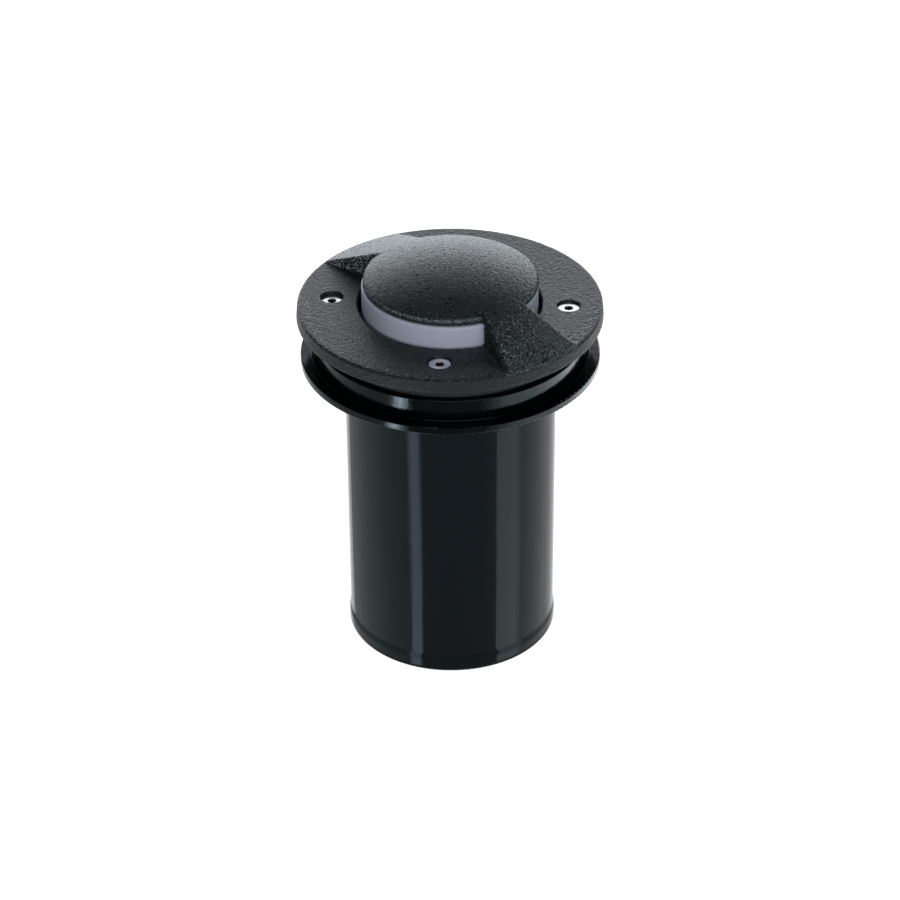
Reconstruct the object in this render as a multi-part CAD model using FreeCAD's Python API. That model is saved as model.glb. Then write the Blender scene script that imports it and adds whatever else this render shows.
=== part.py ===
import FreeCAD, Part
import math
import os

# In-ground well light with a two-way hooded cover.
# A plastic sleeve stays in the ground. A sealed fixture drops into it: a can with a glued
# collar, a cast cover with a hood over two side windows, a frosted cup lens behind the
# windows, and a low-voltage reflector lamp on a tilting ring inside.
# Millimetres, +Z up, origin at the centre of the sleeve's foot.

# ---- driving sizes: sleeve ----
SLEEVE_OUTER_R = 44.45        # 3.5 inch pipe
SLEEVE_WALL = 3.0
FOOT_CLEARANCE = 17.0         # open space under the cable gland
FOOT_BAND_HEIGHT = 5.5
FOOT_BAND_PROUD = 0.6
FOOT_FLARE_HEIGHT = 2.2       # the tube swells into the band over this height
FOOT_FLARE_ROUND = 5.0
FOOT_INNER_ROUND = 0.5
FOOT_OUTER_ROUND = 1.2
FLANGE_THICKNESS = 3.5
FLANGE_STEP = 5.8             # flange beyond the collar
FLANGE_EDGE_ROUND = 0.6
SOCKET_DEPTH = 1.5            # how far the tube stands in the flange
RIB_WIDTH = 1.1               # locating rib round the collar
RIB_HEIGHT = 0.8
RIB_ROUND = 0.35
RIB_CLEARANCE = 0.5

# ---- driving sizes: can and collar ----
SLEEVE_GAP = 1.05             # between the can and the sleeve
CAN_WALL = 2.5
CAN_FLOOR = 3.0
CAN_ROUND = 1.5
CAN_IN_COLLAR = 5.0           # how far the can stands in the collar
SEAT_GAP = 0.3                # collar above the flange
COLLAR_HEIGHT = 8.8
COLLAR_BEYOND_SCREWS = 7.6
COLLAR_EDGE_ROUND = 0.5
SEAT_RING_WIDTH = 4.0
SEAT_RING_INSIDE_SCREWS = 2.3  # inner edge of the ring from the screw circle
SEAT_RING_DEPTH = 1.3          # how far the ring goes into the collar
SEAT_RING_ROUND = 0.3
RING_SIDE_CLEARANCE = 0.2

# ---- driving sizes: lens and seals ----
LENS_INSET = 1.2              # lens wall inside the can wall
LENS_WALL = 2.5
LENS_FLANGE_WIDTH = 7.3
LENS_FLANGE_THICKNESS = 2.5
LENS_SHOULDER_ROUND = 1.0
LENS_FOOT_ROUND = 0.5
LENS_FLANGE_ROUND = 0.3
LENS_TOP_CLEARANCE = 0.2
LENS_RECESS_CLEARANCE = 0.6
LENS_SEAL_THICKNESS = 2.0
LENS_SEAL_SUNK = 1.0
GASKET_THICKNESS = 2.5
GASKET_SIDE_CLEARANCE = 0.4

# ---- driving sizes: cast cover ----
COVER_OVERHANG = 6.6          # cover rim beyond the collar
COVER_DRAFT = 0.5
COVER_EDGE_ROUND = 0.8
COVER_UNDER_ROUND = 0.4
PLATE_THICKNESS = 6.0
SPIGOT_HEIGHT = 5.0           # ring under the plate
SPIGOT_BEYOND_SCREWS = 4.7
SPIGOT_ROUND = 0.5
LENS_HOLE_CLEARANCE = 1.4
HOLE_EDGE_ROUND = 0.6
WINDOW_HEIGHT = 8.7
HOOD_EDGE = 3.1               # height of the hood's lip
HOOD_TOP_ROUND = 0.6          # along the lip and the top edges of the wings
HOOD_UNDER_ROUND = 0.5        # under the lip
HOOD_INSIDE_LENS = 1.1        # the lip stands back from the lens wall
HOOD_SHELL = 3.6
WING_END_INSET = 0.6          # wing tip from the cover rim
WING_WALLS = [(116.0, 152.5), (295.5, 330.0)]   # the two walls of each wing

# ---- driving sizes: cover screws and inserts ----
SCREW_ANGLES = [0.0, 90.0, 180.0, 270.0]
SCREW_FROM_LENS_FLANGE = 5.3
SCREW_R = 2.5
SCREW_LENGTH = 16.0
SCREW_HEAD_R = 4.48
SCREW_HEAD_RIM = 0.25
SCREW_HEAD_ROUND = 0.12
SCREW_TIP_CHAMFER = 0.6
SCREW_HEX = 3.0
SCREW_HEX_DEPTH = 1.9
SCREW_HEX_MOUTH = 0.45        # bevel round the mouth of the socket
SCREW_HOLE_CLEARANCE = 0.25
HEAD_SEAT_CLEARANCE = 0.06
RECESS_R = 5.0
RECESS_DEPTHS = [1.3, 2.0, 1.9, 0.8]
INSERT_R = 3.5
INSERT_HEIGHT = 6.5
INSERT_BORE_CLEARANCE = 0.05
INSERT_POCKET_CLEARANCE = 0.02
INSERT_GROOVE_DEPTH = 0.35
INSERT_GROOVE_WIDTH = 1.0

# ---- driving sizes: lamp ----
LAMP_R = 25.25
LAMP_LENGTH = 46.0
LAMP_RIM = 2.5
LAMP_GLASS_WALL = 1.5
BOWL_BELLY_OUT = 0.68         # the bowl's middle point, between neck and rim
BOWL_BELLY_UP = 0.42
LAMP_NECK_HEIGHT = 16.0
LAMP_NECK_LONG = 19.0
LAMP_NECK_SHORT = 11.0
LAMP_NECK_ROUND = 2.0
FRONT_GLASS_THICKNESS = 1.5
FRONT_GLASS_CLEARANCE = 0.1
CAPSULE_R = 4.6
CAPSULE_HEIGHT = 22.0
CAPSULE_SUNK = 8.0
CAPSULE_CLEARANCE = 0.15
PIN_R = 0.75
PIN_LENGTH = 7.5
PIN_SUNK = 4.0
PIN_SPACING = 5.33
PIN_CLEARANCE = 0.05

# ---- driving sizes: lamp holder and leads ----
HOLDER_LONG = 17.0
HOLDER_SHORT = 10.0
HOLDER_HEIGHT = 11.5
HOLDER_ROUND = 1.5
LEAD_R = 1.0
LEAD_HOLE_CLEARANCE = 0.2
LEAD_HOLE_DEPTH = 2.0
LEAD_IN_BLOCK = 7.0
LEAD_DROP = 7.5
LEAD_BEND = 7.0
LEAD_RUN_SHARE = 0.45

# ---- driving sizes: tilting ring and bracket ----
GIMBAL_FIT = 0.35
GIMBAL_WALL = 2.2
GIMBAL_UNDER = 3.5            # ring below the pivot axis
GIMBAL_OVER = 4.5             # ring above the pivot axis
GIMBAL_LIP = 1.3
GIMBAL_ROUND = 0.4
PIVOT_BELOW_FRONT = 2.0       # pivot axis under the lamp's front
PIVOT_BOSS_R = 4.0
PIVOT_BOSS_PROUD = 0.4
PIVOT_R = 2.0
PIVOT_CLEARANCE = 0.05
PIVOT_HEAD_R = 3.6
PIVOT_HEAD_HEIGHT = 2.2
PIVOT_SLOT = 0.9
WASHER_R = 4.5
WASHER_THICKNESS = 1.2
CLIP_WIRE_R = 0.6
CLIP_GAP_ANGLE = 40.0
CLIP_GAP_AT = 90.0
CLIP_GROOVE_CLEARANCE = 0.1
BRACKET_SHEET = 1.5
BRACKET_WIDTH = 16.0
BRACKET_BEND = 2.5
BRACKET_LEAD_HOLE_R = 5.0
BOSS_HEIGHT = 15.0
BOSS_R = 4.0
BOSS_X = 21.0
SWING_CLEARANCE = 5.0
PIVOT_DROP = 15.4             # pivot axis below the flange face
BRACKET_SCREW_R = 2.0
BRACKET_SCREW_LENGTH = 10.0
BRACKET_SCREW_HEAD_R = 3.6
BRACKET_SCREW_HEAD_HEIGHT = 2.4
BRACKET_SCREW_HEAD_ROUND = 0.9
BRACKET_SCREW_TIP_ROUND = 0.4
BRACKET_SCREW_CLEARANCE = 0.15
CROSS_SLOT = 0.9
CROSS_LONG = 4.3
CROSS_DEPTH = 1.3
CROSS_ROUND = 0.2

# ---- driving sizes: terminal block ----
BLOCK_LONG = 20.0
BLOCK_SHORT = 14.0
BLOCK_HEIGHT = 14.0
BLOCK_Y = 16.0
BLOCK_ROUND = 1.0
BLOCK_POLE_X = 4.0
BLOCK_WIRE_Z = 7.0
BLOCK_WIRE_HOLE_R = 1.5
BLOCK_SCREW_R = 1.7
BLOCK_SCREW_INSET = 3.5
BLOCK_SCREW_SUNK = 0.6
BLOCK_SCREW_OVER_LEAD = 0.1
BLOCK_SCREW_CLEARANCE = 0.05
BLOCK_SLOT = 0.6
BLOCK_SLOT_DEPTH = 0.9

# ---- driving sizes: cable gland ----
GLAND_DROP = 23.0
GLAND_THREAD_R = 7.9
GLAND_HOLE_CLEARANCE = 0.2
GLAND_HEX = 20.0
GLAND_HEX_HEIGHT = 4.5
GLAND_WASHER_R = 10.5
GLAND_WASHER_THICKNESS = 1.5
GLAND_NECK_R = 7.4
GLAND_NECK_WALL = 1.1
GLAND_BORE_R = 4.5
GLAND_ABOVE_FLOOR = 5.5
GLAND_NUT_HEX = 22.0
GLAND_NUT_HEIGHT = 4.5
GLAND_CAP_R = 10.0
GLAND_CAP_FLOOR = 4.0
GLAND_CAP_HOLE_R = 4.2
GLAND_CAP_CLEARANCE = 0.15
GLAND_CAP_BOTTOM_ROUND = 2.0
GLAND_CAP_ROUND = 0.5
GLAND_CAP_FLUTES = 12
GLAND_FLUTE_R = 1.2
GLAND_SEAL_BORE_R = 3.5
GLAND_SEAL_CLEARANCE = 0.2
GLAND_FIT = 0.3

# ---- clearances and counts shared by several pieces ----
THREAD_CLEARANCE = 0.02
GLUE_CLEARANCE = 0.05
PILOT_CLEARANCE = 0.05
HEX_SIDES = 6
FULL_TURN = 360.0
CUT_OVER = 1.0                # how far a cutting tool runs past what it cuts
SAME_PLACE = 0.01             # two points nearer than this are one

# ---- heights, built up from the foot ----
gland_low_z = FOOT_CLEARANCE
can_low_z = gland_low_z + GLAND_DROP
can_floor_z = can_low_z + CAN_FLOOR
bracket_z = can_floor_z + BOSS_HEIGHT
holder_z = bracket_z + BRACKET_SHEET + SWING_CLEARANCE
lamp_base_z = holder_z + HOLDER_HEIGHT
lamp_front_z = lamp_base_z + LAMP_LENGTH
pivot_z = lamp_front_z - PIVOT_BELOW_FRONT
flange_top_z = pivot_z + PIVOT_DROP
flange_low_z = flange_top_z - FLANGE_THICKNESS
collar_low_z = flange_top_z + SEAT_GAP
collar_top_z = collar_low_z + COLLAR_HEIGHT
gasket_top_z = collar_top_z + GASKET_THICKNESS
plate_low_z = gasket_top_z + SPIGOT_HEIGHT
face_z = plate_low_z + PLATE_THICKNESS
window_top_z = face_z + WINDOW_HEIGHT
hood_rim_z = window_top_z + HOOD_EDGE

# ---- radii, built up from the sleeve ----
sleeve_inner_r = SLEEVE_OUTER_R - SLEEVE_WALL
can_outer_r = sleeve_inner_r - SLEEVE_GAP
can_inner_r = can_outer_r - CAN_WALL
lens_r = can_inner_r - LENS_INSET
lens_flange_r = lens_r + LENS_FLANGE_WIDTH
lens_hole_r = lens_r + LENS_HOLE_CLEARANCE
lens_recess_r = lens_flange_r + LENS_RECESS_CLEARANCE
screw_circle_r = lens_flange_r + SCREW_FROM_LENS_FLANGE
spigot_r = screw_circle_r + SPIGOT_BEYOND_SCREWS
collar_r = screw_circle_r + COLLAR_BEYOND_SCREWS
flange_r = collar_r + FLANGE_STEP
cover_r = collar_r + COVER_OVERHANG
hood_rim_r = lens_r - HOOD_INSIDE_LENS
wing_end_r = cover_r - WING_END_INSET
seat_ring_inner_r = screw_circle_r - SEAT_RING_INSIDE_SCREWS
seat_ring_outer_r = seat_ring_inner_r + SEAT_RING_WIDTH

# ---- the hood's dome runs on from the slope of the wings ----
hood_rise = hood_rim_z - face_z
hood_slope = math.atan2(hood_rise, wing_end_r - hood_rim_r)
dome_r = hood_rim_r / math.sin(hood_slope)
dome_centre_z = hood_rim_z - dome_r * math.cos(hood_slope)
dome_top_z = dome_centre_z + dome_r

# ---- lens and seal levels ----
seal_low_z = collar_top_z - LENS_SEAL_SUNK
lens_low_z = seal_low_z + LENS_SEAL_THICKNESS
lens_flange_top_z = lens_low_z + LENS_FLANGE_THICKNESS
lens_top_z = window_top_z - LENS_TOP_CLEARANCE

# ---- the tilting ring, from the lamp outwards along X ----
gimbal_inner_r = LAMP_R + GIMBAL_FIT
gimbal_outer_r = gimbal_inner_r + GIMBAL_WALL
boss_face_x = gimbal_outer_r + PIVOT_BOSS_PROUD
arm_inner_x = boss_face_x + WASHER_THICKNESS
arm_outer_x = arm_inner_x + BRACKET_SHEET
pivot_tip_x = gimbal_inner_r + GIMBAL_FIT
pivot_hole_x = gimbal_inner_r - GIMBAL_FIT

ORIGIN = FreeCAD.Vector(0, 0, 0)
X_AXIS = FreeCAD.Vector(1, 0, 0)
Y_AXIS = FreeCAD.Vector(0, 1, 0)
Z_AXIS = FreeCAD.Vector(0, 0, 1)


# ---- drawing helpers ----
def in_section(r, z):
    """A point of a turned outline: radius and height."""
    return FreeCAD.Vector(r, 0, z)


def in_plan(x, y):
    """A point of an outline seen from above."""
    return FreeCAD.Vector(x, y, 0)


def corner_edge(before, corner, after, radius):
    """The tangent arc of one rounded corner, with its two ends."""
    back = (before - corner).normalize()
    ahead = (after - corner).normalize()
    half_angle = back.getAngle(ahead) / 2
    setback = radius / math.tan(half_angle)
    start = corner + back * setback
    end = corner + ahead * setback
    bisector = (back + ahead).normalize()
    middle = corner + bisector * (radius / math.sin(half_angle) - radius)
    return Part.Arc(start, middle, end).toShape(), start, end


def closed_wire(corners, to_vector):
    """A closed outline of straight runs. A corner is (u, v) or (u, v, radius)."""
    points = [to_vector(corner[0], corner[1]) for corner in corners]
    radii = [corner[2] if len(corner) > 2 else 0 for corner in corners]
    count = len(points)
    arcs = []
    starts = []
    ends = []
    for i in range(count):
        if radii[i] > 0:
            arc, start, end = corner_edge(points[i - 1], points[i], points[(i + 1) % count], radii[i])
            arcs.append(arc)
            starts.append(start)
            ends.append(end)
        else:
            arcs.append(None)
            starts.append(points[i])
            ends.append(points[i])
    edges = []
    for i in range(count):
        if arcs[i]:
            edges.append(arcs[i])
        edges.append(Part.makeLine(ends[i], starts[(i + 1) % count]))
    return Part.Wire(edges)


def turned(corners):
    """A solid turned about the Z axis from an outline of (radius, height) corners."""
    face = Part.Face(closed_wire(corners, in_section))
    return face.revolve(ORIGIN, Z_AXIS, FULL_TURN)


def ring(inner_r, outer_r, low_z, high_z):
    """A plain ring of rectangular section."""
    corners = [(inner_r, low_z), (outer_r, low_z), (outer_r, high_z), (inner_r, high_z)]
    return turned(corners)


def rod(radius, low_z, high_z, x=0.0, y=0.0):
    """An upright cylinder."""
    return Part.makeCylinder(radius, high_z - low_z, FreeCAD.Vector(x, y, low_z))


def rod_along_x(radius, low_x, high_x, z):
    """A cylinder along X at height z."""
    return Part.makeCylinder(radius, high_x - low_x, FreeCAD.Vector(low_x, 0, z), X_AXIS)


def prism(corners, low_z, high_z):
    """An upright prism on an outline of (x, y) corners."""
    face = Part.Face(closed_wire(corners, in_plan))
    face.translate(FreeCAD.Vector(0, 0, low_z))
    return face.extrude(FreeCAD.Vector(0, 0, high_z - low_z))


def block(long_x, long_y, radius, low_z, high_z, x=0.0, y=0.0):
    """An upright box with rounded corners, centred on (x, y)."""
    half_x = long_x / 2
    half_y = long_y / 2
    corners = [
        (x - half_x, y - half_y, radius),
        (x + half_x, y - half_y, radius),
        (x + half_x, y + half_y, radius),
        (x - half_x, y + half_y, radius),
    ]
    return prism(corners, low_z, high_z)


def hexagon(across_flats, low_z, high_z):
    """An upright hexagonal prism on the Z axis."""
    corner_r = across_flats / 2 / math.cos(math.pi / HEX_SIDES)
    corners = []
    for i in range(HEX_SIDES):
        angle = 2 * math.pi * i / HEX_SIDES
        corners.append((corner_r * math.cos(angle), corner_r * math.sin(angle)))
    return prism(corners, low_z, high_z)


def on_circle(shape, radius, angle):
    """A copy of a shape made at the origin, moved out along X and turned about Z."""
    copy = shape.copy()
    copy.translate(FreeCAD.Vector(radius, 0, 0))
    copy.rotate(ORIGIN, Z_AXIS, angle)
    return copy


def half_turned(shape):
    """A copy of a shape turned half round the Z axis."""
    copy = shape.copy()
    copy.rotate(ORIGIN, Z_AXIS, FULL_TURN / 2)
    return copy


def group(solids):
    """Several separate solids in one sub-part."""
    return Part.makeCompound(solids)


# ---- sleeve ----
def sleeve_tube():
    """The buried tube, open at both ends, with a slightly proud foot band."""
    band_r = SLEEVE_OUTER_R + FOOT_BAND_PROUD
    high_z = flange_low_z + SOCKET_DEPTH
    return turned([
        (sleeve_inner_r, 0, FOOT_INNER_ROUND),
        (band_r, 0, FOOT_OUTER_ROUND),
        (band_r, FOOT_BAND_HEIGHT, FOOT_FLARE_ROUND),
        (SLEEVE_OUTER_R, FOOT_BAND_HEIGHT + FOOT_FLARE_HEIGHT, FOOT_FLARE_ROUND),
        (SLEEVE_OUTER_R, high_z),
        (sleeve_inner_r, high_z),
    ])


def sleeve_flange():
    """The moulded flange glued on the tube, with the rib that centres the collar."""
    rib_inner_r = collar_r + RIB_CLEARANCE
    rib_outer_r = rib_inner_r + RIB_WIDTH
    rib_top_z = flange_top_z + RIB_HEIGHT
    socket_r = SLEEVE_OUTER_R + GLUE_CLEARANCE
    socket_z = flange_low_z + SOCKET_DEPTH
    return turned([
        (socket_r, flange_low_z),
        (flange_r, flange_low_z, FLANGE_EDGE_ROUND),
        (flange_r, flange_top_z, FLANGE_EDGE_ROUND),
        (rib_outer_r, flange_top_z),
        (rib_outer_r, rib_top_z, RIB_ROUND),
        (rib_inner_r, rib_top_z, RIB_ROUND),
        (rib_inner_r, flange_top_z),
        (sleeve_inner_r, flange_top_z, FLANGE_EDGE_ROUND),
        (sleeve_inner_r, socket_z),
        (socket_r, socket_z),
    ])


def seat_ring():
    """The flat rubber ring that the collar stands on and turns on."""
    return turned([
        (seat_ring_inner_r, flange_top_z, SEAT_RING_ROUND),
        (seat_ring_outer_r, flange_top_z, SEAT_RING_ROUND),
        (seat_ring_outer_r, collar_low_z + SEAT_RING_DEPTH),
        (seat_ring_inner_r, collar_low_z + SEAT_RING_DEPTH),
    ])


# ---- can and collar ----
def can():
    """The can that holds the lamp, with a gland hole in its floor and two bracket bosses."""
    high_z = collar_low_z + CAN_IN_COLLAR
    body = turned([
        (0, can_low_z),
        (can_outer_r, can_low_z, CAN_ROUND),
        (can_outer_r, high_z),
        (can_inner_r, high_z),
        (can_inner_r, can_floor_z, CAN_ROUND),
        (0, can_floor_z),
    ])
    tools = [rod(GLAND_THREAD_R + GLAND_HOLE_CLEARANCE, can_low_z - CUT_OVER, can_floor_z + CUT_OVER)]
    bosses = []
    pilot_r = BRACKET_SCREW_R + PILOT_CLEARANCE
    pilot_low_z = bracket_z - BRACKET_SCREW_LENGTH
    for x in (-BOSS_X, BOSS_X):
        bosses.append(rod(BOSS_R, can_floor_z - CUT_OVER, bracket_z, x))
        tools.append(rod(pilot_r, pilot_low_z, bracket_z + CUT_OVER, x))
    return body.fuse(bosses).cut(tools)


def collar():
    """The moulded collar glued on the can, with a seat for the lens seal and four insert pockets."""
    socket_r = can_outer_r + GLUE_CLEARANCE
    socket_z = collar_low_z + CAN_IN_COLLAR
    body = turned([
        (socket_r, collar_low_z),
        (collar_r, collar_low_z, COLLAR_EDGE_ROUND),
        (collar_r, collar_top_z, COLLAR_EDGE_ROUND),
        (lens_recess_r, collar_top_z),
        (lens_recess_r, seal_low_z),
        (can_inner_r, seal_low_z, COLLAR_EDGE_ROUND),
        (can_inner_r, socket_z),
        (socket_r, socket_z),
    ])
    groove = ring(
        seat_ring_inner_r - RING_SIDE_CLEARANCE,
        seat_ring_outer_r + RING_SIDE_CLEARANCE,
        collar_low_z - CUT_OVER,
        collar_low_z + SEAT_RING_DEPTH,
    )
    pocket_low_z = collar_top_z - INSERT_HEIGHT
    pocket = rod(INSERT_R + INSERT_POCKET_CLEARANCE, pocket_low_z, collar_top_z + CUT_OVER)
    pockets = [on_circle(pocket, screw_circle_r, angle) for angle in SCREW_ANGLES]
    return body.cut([groove] + pockets)


def thread_inserts():
    """Four grooved brass inserts moulded into the collar for the cover screws."""
    low_z = collar_top_z - INSERT_HEIGHT
    bore_r = SCREW_R + INSERT_BORE_CLEARANCE
    groove_low_z = low_z + (INSERT_HEIGHT - INSERT_GROOVE_WIDTH) / 2
    groove_r = INSERT_R - INSERT_GROOVE_DEPTH
    insert = turned([
        (bore_r, low_z),
        (INSERT_R, low_z),
        (INSERT_R, groove_low_z),
        (groove_r, groove_low_z),
        (groove_r, groove_low_z + INSERT_GROOVE_WIDTH),
        (INSERT_R, groove_low_z + INSERT_GROOVE_WIDTH),
        (INSERT_R, collar_top_z),
        (bore_r, collar_top_z),
    ])
    return group([on_circle(insert, screw_circle_r, angle) for angle in SCREW_ANGLES])


# ---- lens and seals ----
def lens():
    """The frosted cup whose wall shows in the two windows, with its clamping flange."""
    inner_r = lens_r - LENS_WALL
    return turned([
        (inner_r, lens_low_z, LENS_FLANGE_ROUND),
        (lens_flange_r, lens_low_z, LENS_FLANGE_ROUND),
        (lens_flange_r, lens_flange_top_z, LENS_FLANGE_ROUND),
        (lens_r, lens_flange_top_z, LENS_FOOT_ROUND),
        (lens_r, lens_top_z, LENS_SHOULDER_ROUND),
        (0, lens_top_z),
        (0, lens_top_z - LENS_WALL),
        (inner_r, lens_top_z - LENS_WALL, LENS_SHOULDER_ROUND),
    ])


def lens_seal():
    """The silicone ring under the lens flange."""
    return ring(lens_r, lens_flange_r, seal_low_z, lens_low_z)


def cover_gasket():
    """The flat gasket between the collar and the cover's spigot, with four screw holes."""
    inner_r = lens_recess_r + GASKET_SIDE_CLEARANCE
    body = ring(inner_r, spigot_r, collar_top_z, gasket_top_z)
    hole = rod(SCREW_R + SCREW_HOLE_CLEARANCE, collar_top_z - CUT_OVER, gasket_top_z + CUT_OVER)
    return body.cut([on_circle(hole, screw_circle_r, angle) for angle in SCREW_ANGLES])


# ---- cast cover ----
def cover_blank():
    """The cover before its windows are cut: plate, spigot, and the hood as a full cone."""
    plate = turned([
        (0, gasket_top_z),
        (spigot_r, gasket_top_z, SPIGOT_ROUND),
        (spigot_r, plate_low_z),
        (cover_r + COVER_DRAFT, plate_low_z, COVER_UNDER_ROUND),
        (cover_r, face_z, COVER_EDGE_ROUND),
        (0, face_z),
    ])
    half_slope = hood_slope / 2
    half_way = in_section(dome_r * math.sin(half_slope), dome_centre_z + dome_r * math.cos(half_slope))
    rim = in_section(hood_rim_r, hood_rim_z)
    top = in_section(0, dome_top_z)
    foot = in_section(wing_end_r, face_z)
    under = in_section(wing_end_r, plate_low_z + CUT_OVER)
    middle = in_section(0, plate_low_z + CUT_OVER)
    edges = [
        Part.Arc(top, half_way, rim).toShape(),
        Part.makeLine(rim, foot),
        Part.makeLine(foot, under),
        Part.makeLine(under, middle),
        Part.makeLine(middle, top),
    ]
    hood = Part.Face(Part.Wire(edges)).revolve(ORIGIN, Z_AXIS, FULL_TURN)
    return plate.fuse(hood)


def window_cut(start_angle, turn):
    """One window: everything outside the hood's lip and above the plate, between two wings."""
    outer_r = cover_r + CUT_OVER
    corners = [
        (hood_rim_r, face_z),
        (outer_r, face_z),
        (outer_r, dome_top_z),
        (hood_rim_r, dome_top_z),
    ]
    face = Part.Face(closed_wire(corners, in_section))
    cut = face.revolve(ORIGIN, Z_AXIS, turn)
    cut.rotate(ORIGIN, Z_AXIS, start_angle)
    return cut


def hollow_cut():
    """The space for the lens, and the hollow under the dome."""
    bore = rod(lens_hole_r, gasket_top_z - CUT_OVER, window_top_z)
    recess = rod(lens_recess_r, gasket_top_z - CUT_OVER, lens_flange_top_z)
    ball = Part.makeSphere(dome_r - HOOD_SHELL, FreeCAD.Vector(0, 0, dome_centre_z))
    above_lens = rod(hood_rim_r, window_top_z - CUT_OVER, dome_top_z)
    return [bore, recess, ball.common(above_lens)]


def screw_seat(depth):
    """A round recess, a countersink and a clearance hole for one cover screw."""
    head_top_z = face_z - depth
    shank_r = SCREW_R + SCREW_HOLE_CLEARANCE
    seat_r = SCREW_HEAD_R + HEAD_SEAT_CLEARANCE
    rim_low_z = head_top_z - SCREW_HEAD_RIM - HEAD_SEAT_CLEARANCE
    cone_fall = seat_r - shank_r
    return turned([
        (0, gasket_top_z - CUT_OVER),
        (shank_r, gasket_top_z - CUT_OVER),
        (shank_r, rim_low_z - cone_fall),
        (seat_r, rim_low_z),
        (RECESS_R, rim_low_z),
        (RECESS_R, face_z + CUT_OVER),
        (0, face_z + CUT_OVER),
    ])


def edges_at(shape, radius, height):
    """The edges that run round the Z axis at one radius and height."""
    found = []
    for edge in shape.Edges:
        ends = [vertex.Point for vertex in edge.Vertexes]
        level = all(abs(point.z - height) < SAME_PLACE for point in ends)
        round_here = all(abs(math.hypot(point.x, point.y) - radius) < SAME_PLACE for point in ends)
        if level and round_here and isinstance(edge.Curve, Part.Circle):
            found.append(edge)
    return found


def wing_edges(shape):
    """The straight edges where the wings' tops meet their walls."""
    found = []
    for edge in shape.Edges:
        points = [vertex.Point for vertex in edge.Vertexes]
        heights = [point.z for point in points]
        radii = [math.hypot(point.x, point.y) for point in points]
        on_slope = min(heights) < face_z + HOOD_EDGE and max(heights) > window_top_z
        if on_slope and min(radii) < hood_rim_r + HOOD_EDGE and max(radii) > wing_end_r - HOOD_EDGE:
            found.append(edge)
    return found


def cover():
    """The cast cover: plate with a round lens hole, dome, and two wings that carry the dome."""
    cuts = hollow_cut()
    for i in range(len(WING_WALLS)):
        window_start = WING_WALLS[i - 1][1]
        window_end = WING_WALLS[i][0]
        cuts.append(window_cut(window_start, (window_end - window_start) % FULL_TURN))
    for angle, depth in zip(SCREW_ANGLES, RECESS_DEPTHS):
        cuts.append(on_circle(screw_seat(depth), screw_circle_r, angle))
    body = cover_blank().cut(cuts)
    body = body.makeFillet(HOOD_TOP_ROUND, wing_edges(body) + edges_at(body, hood_rim_r, hood_rim_z))
    body = body.makeFillet(HOOD_UNDER_ROUND, edges_at(body, hood_rim_r, window_top_z))
    return body.makeFillet(HOLE_EDGE_ROUND, edges_at(body, lens_hole_r, face_z))


# ---- cover screws ----
def cover_screw(depth):
    """A countersunk screw with a hexagonal socket, in a seat of the given depth."""
    head_top_z = face_z - depth
    tip_z = head_top_z - SCREW_LENGTH
    rim_low_z = head_top_z - SCREW_HEAD_RIM
    cone_fall = SCREW_HEAD_R - SCREW_R
    body = turned([
        (0, tip_z),
        (SCREW_R - SCREW_TIP_CHAMFER, tip_z),
        (SCREW_R, tip_z + SCREW_TIP_CHAMFER),
        (SCREW_R, rim_low_z - cone_fall),
        (SCREW_HEAD_R, rim_low_z),
        (SCREW_HEAD_R, head_top_z, SCREW_HEAD_ROUND),
        (0, head_top_z),
    ])
    socket_r = SCREW_HEX / 2
    socket_low_z = head_top_z - SCREW_HEX_DEPTH
    socket = hexagon(SCREW_HEX, socket_low_z, head_top_z + CUT_OVER)
    drill_depth = socket_r / 2
    drill_low = FreeCAD.Vector(0, 0, socket_low_z - drill_depth)
    drill_point = Part.makeCone(0, socket_r, drill_depth, drill_low)
    mouth_low = FreeCAD.Vector(0, 0, head_top_z - SCREW_HEX_MOUTH)
    mouth = Part.makeCone(socket_r, socket_r + SCREW_HEX_MOUTH, SCREW_HEX_MOUTH, mouth_low)
    return body.cut([socket, drill_point, mouth])


def cover_screws():
    """The four screws that clamp the cover, lens and seals to the collar."""
    screws = []
    for angle, depth in zip(SCREW_ANGLES, RECESS_DEPTHS):
        screws.append(on_circle(cover_screw(depth), screw_circle_r, angle))
    return group(screws)


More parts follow.
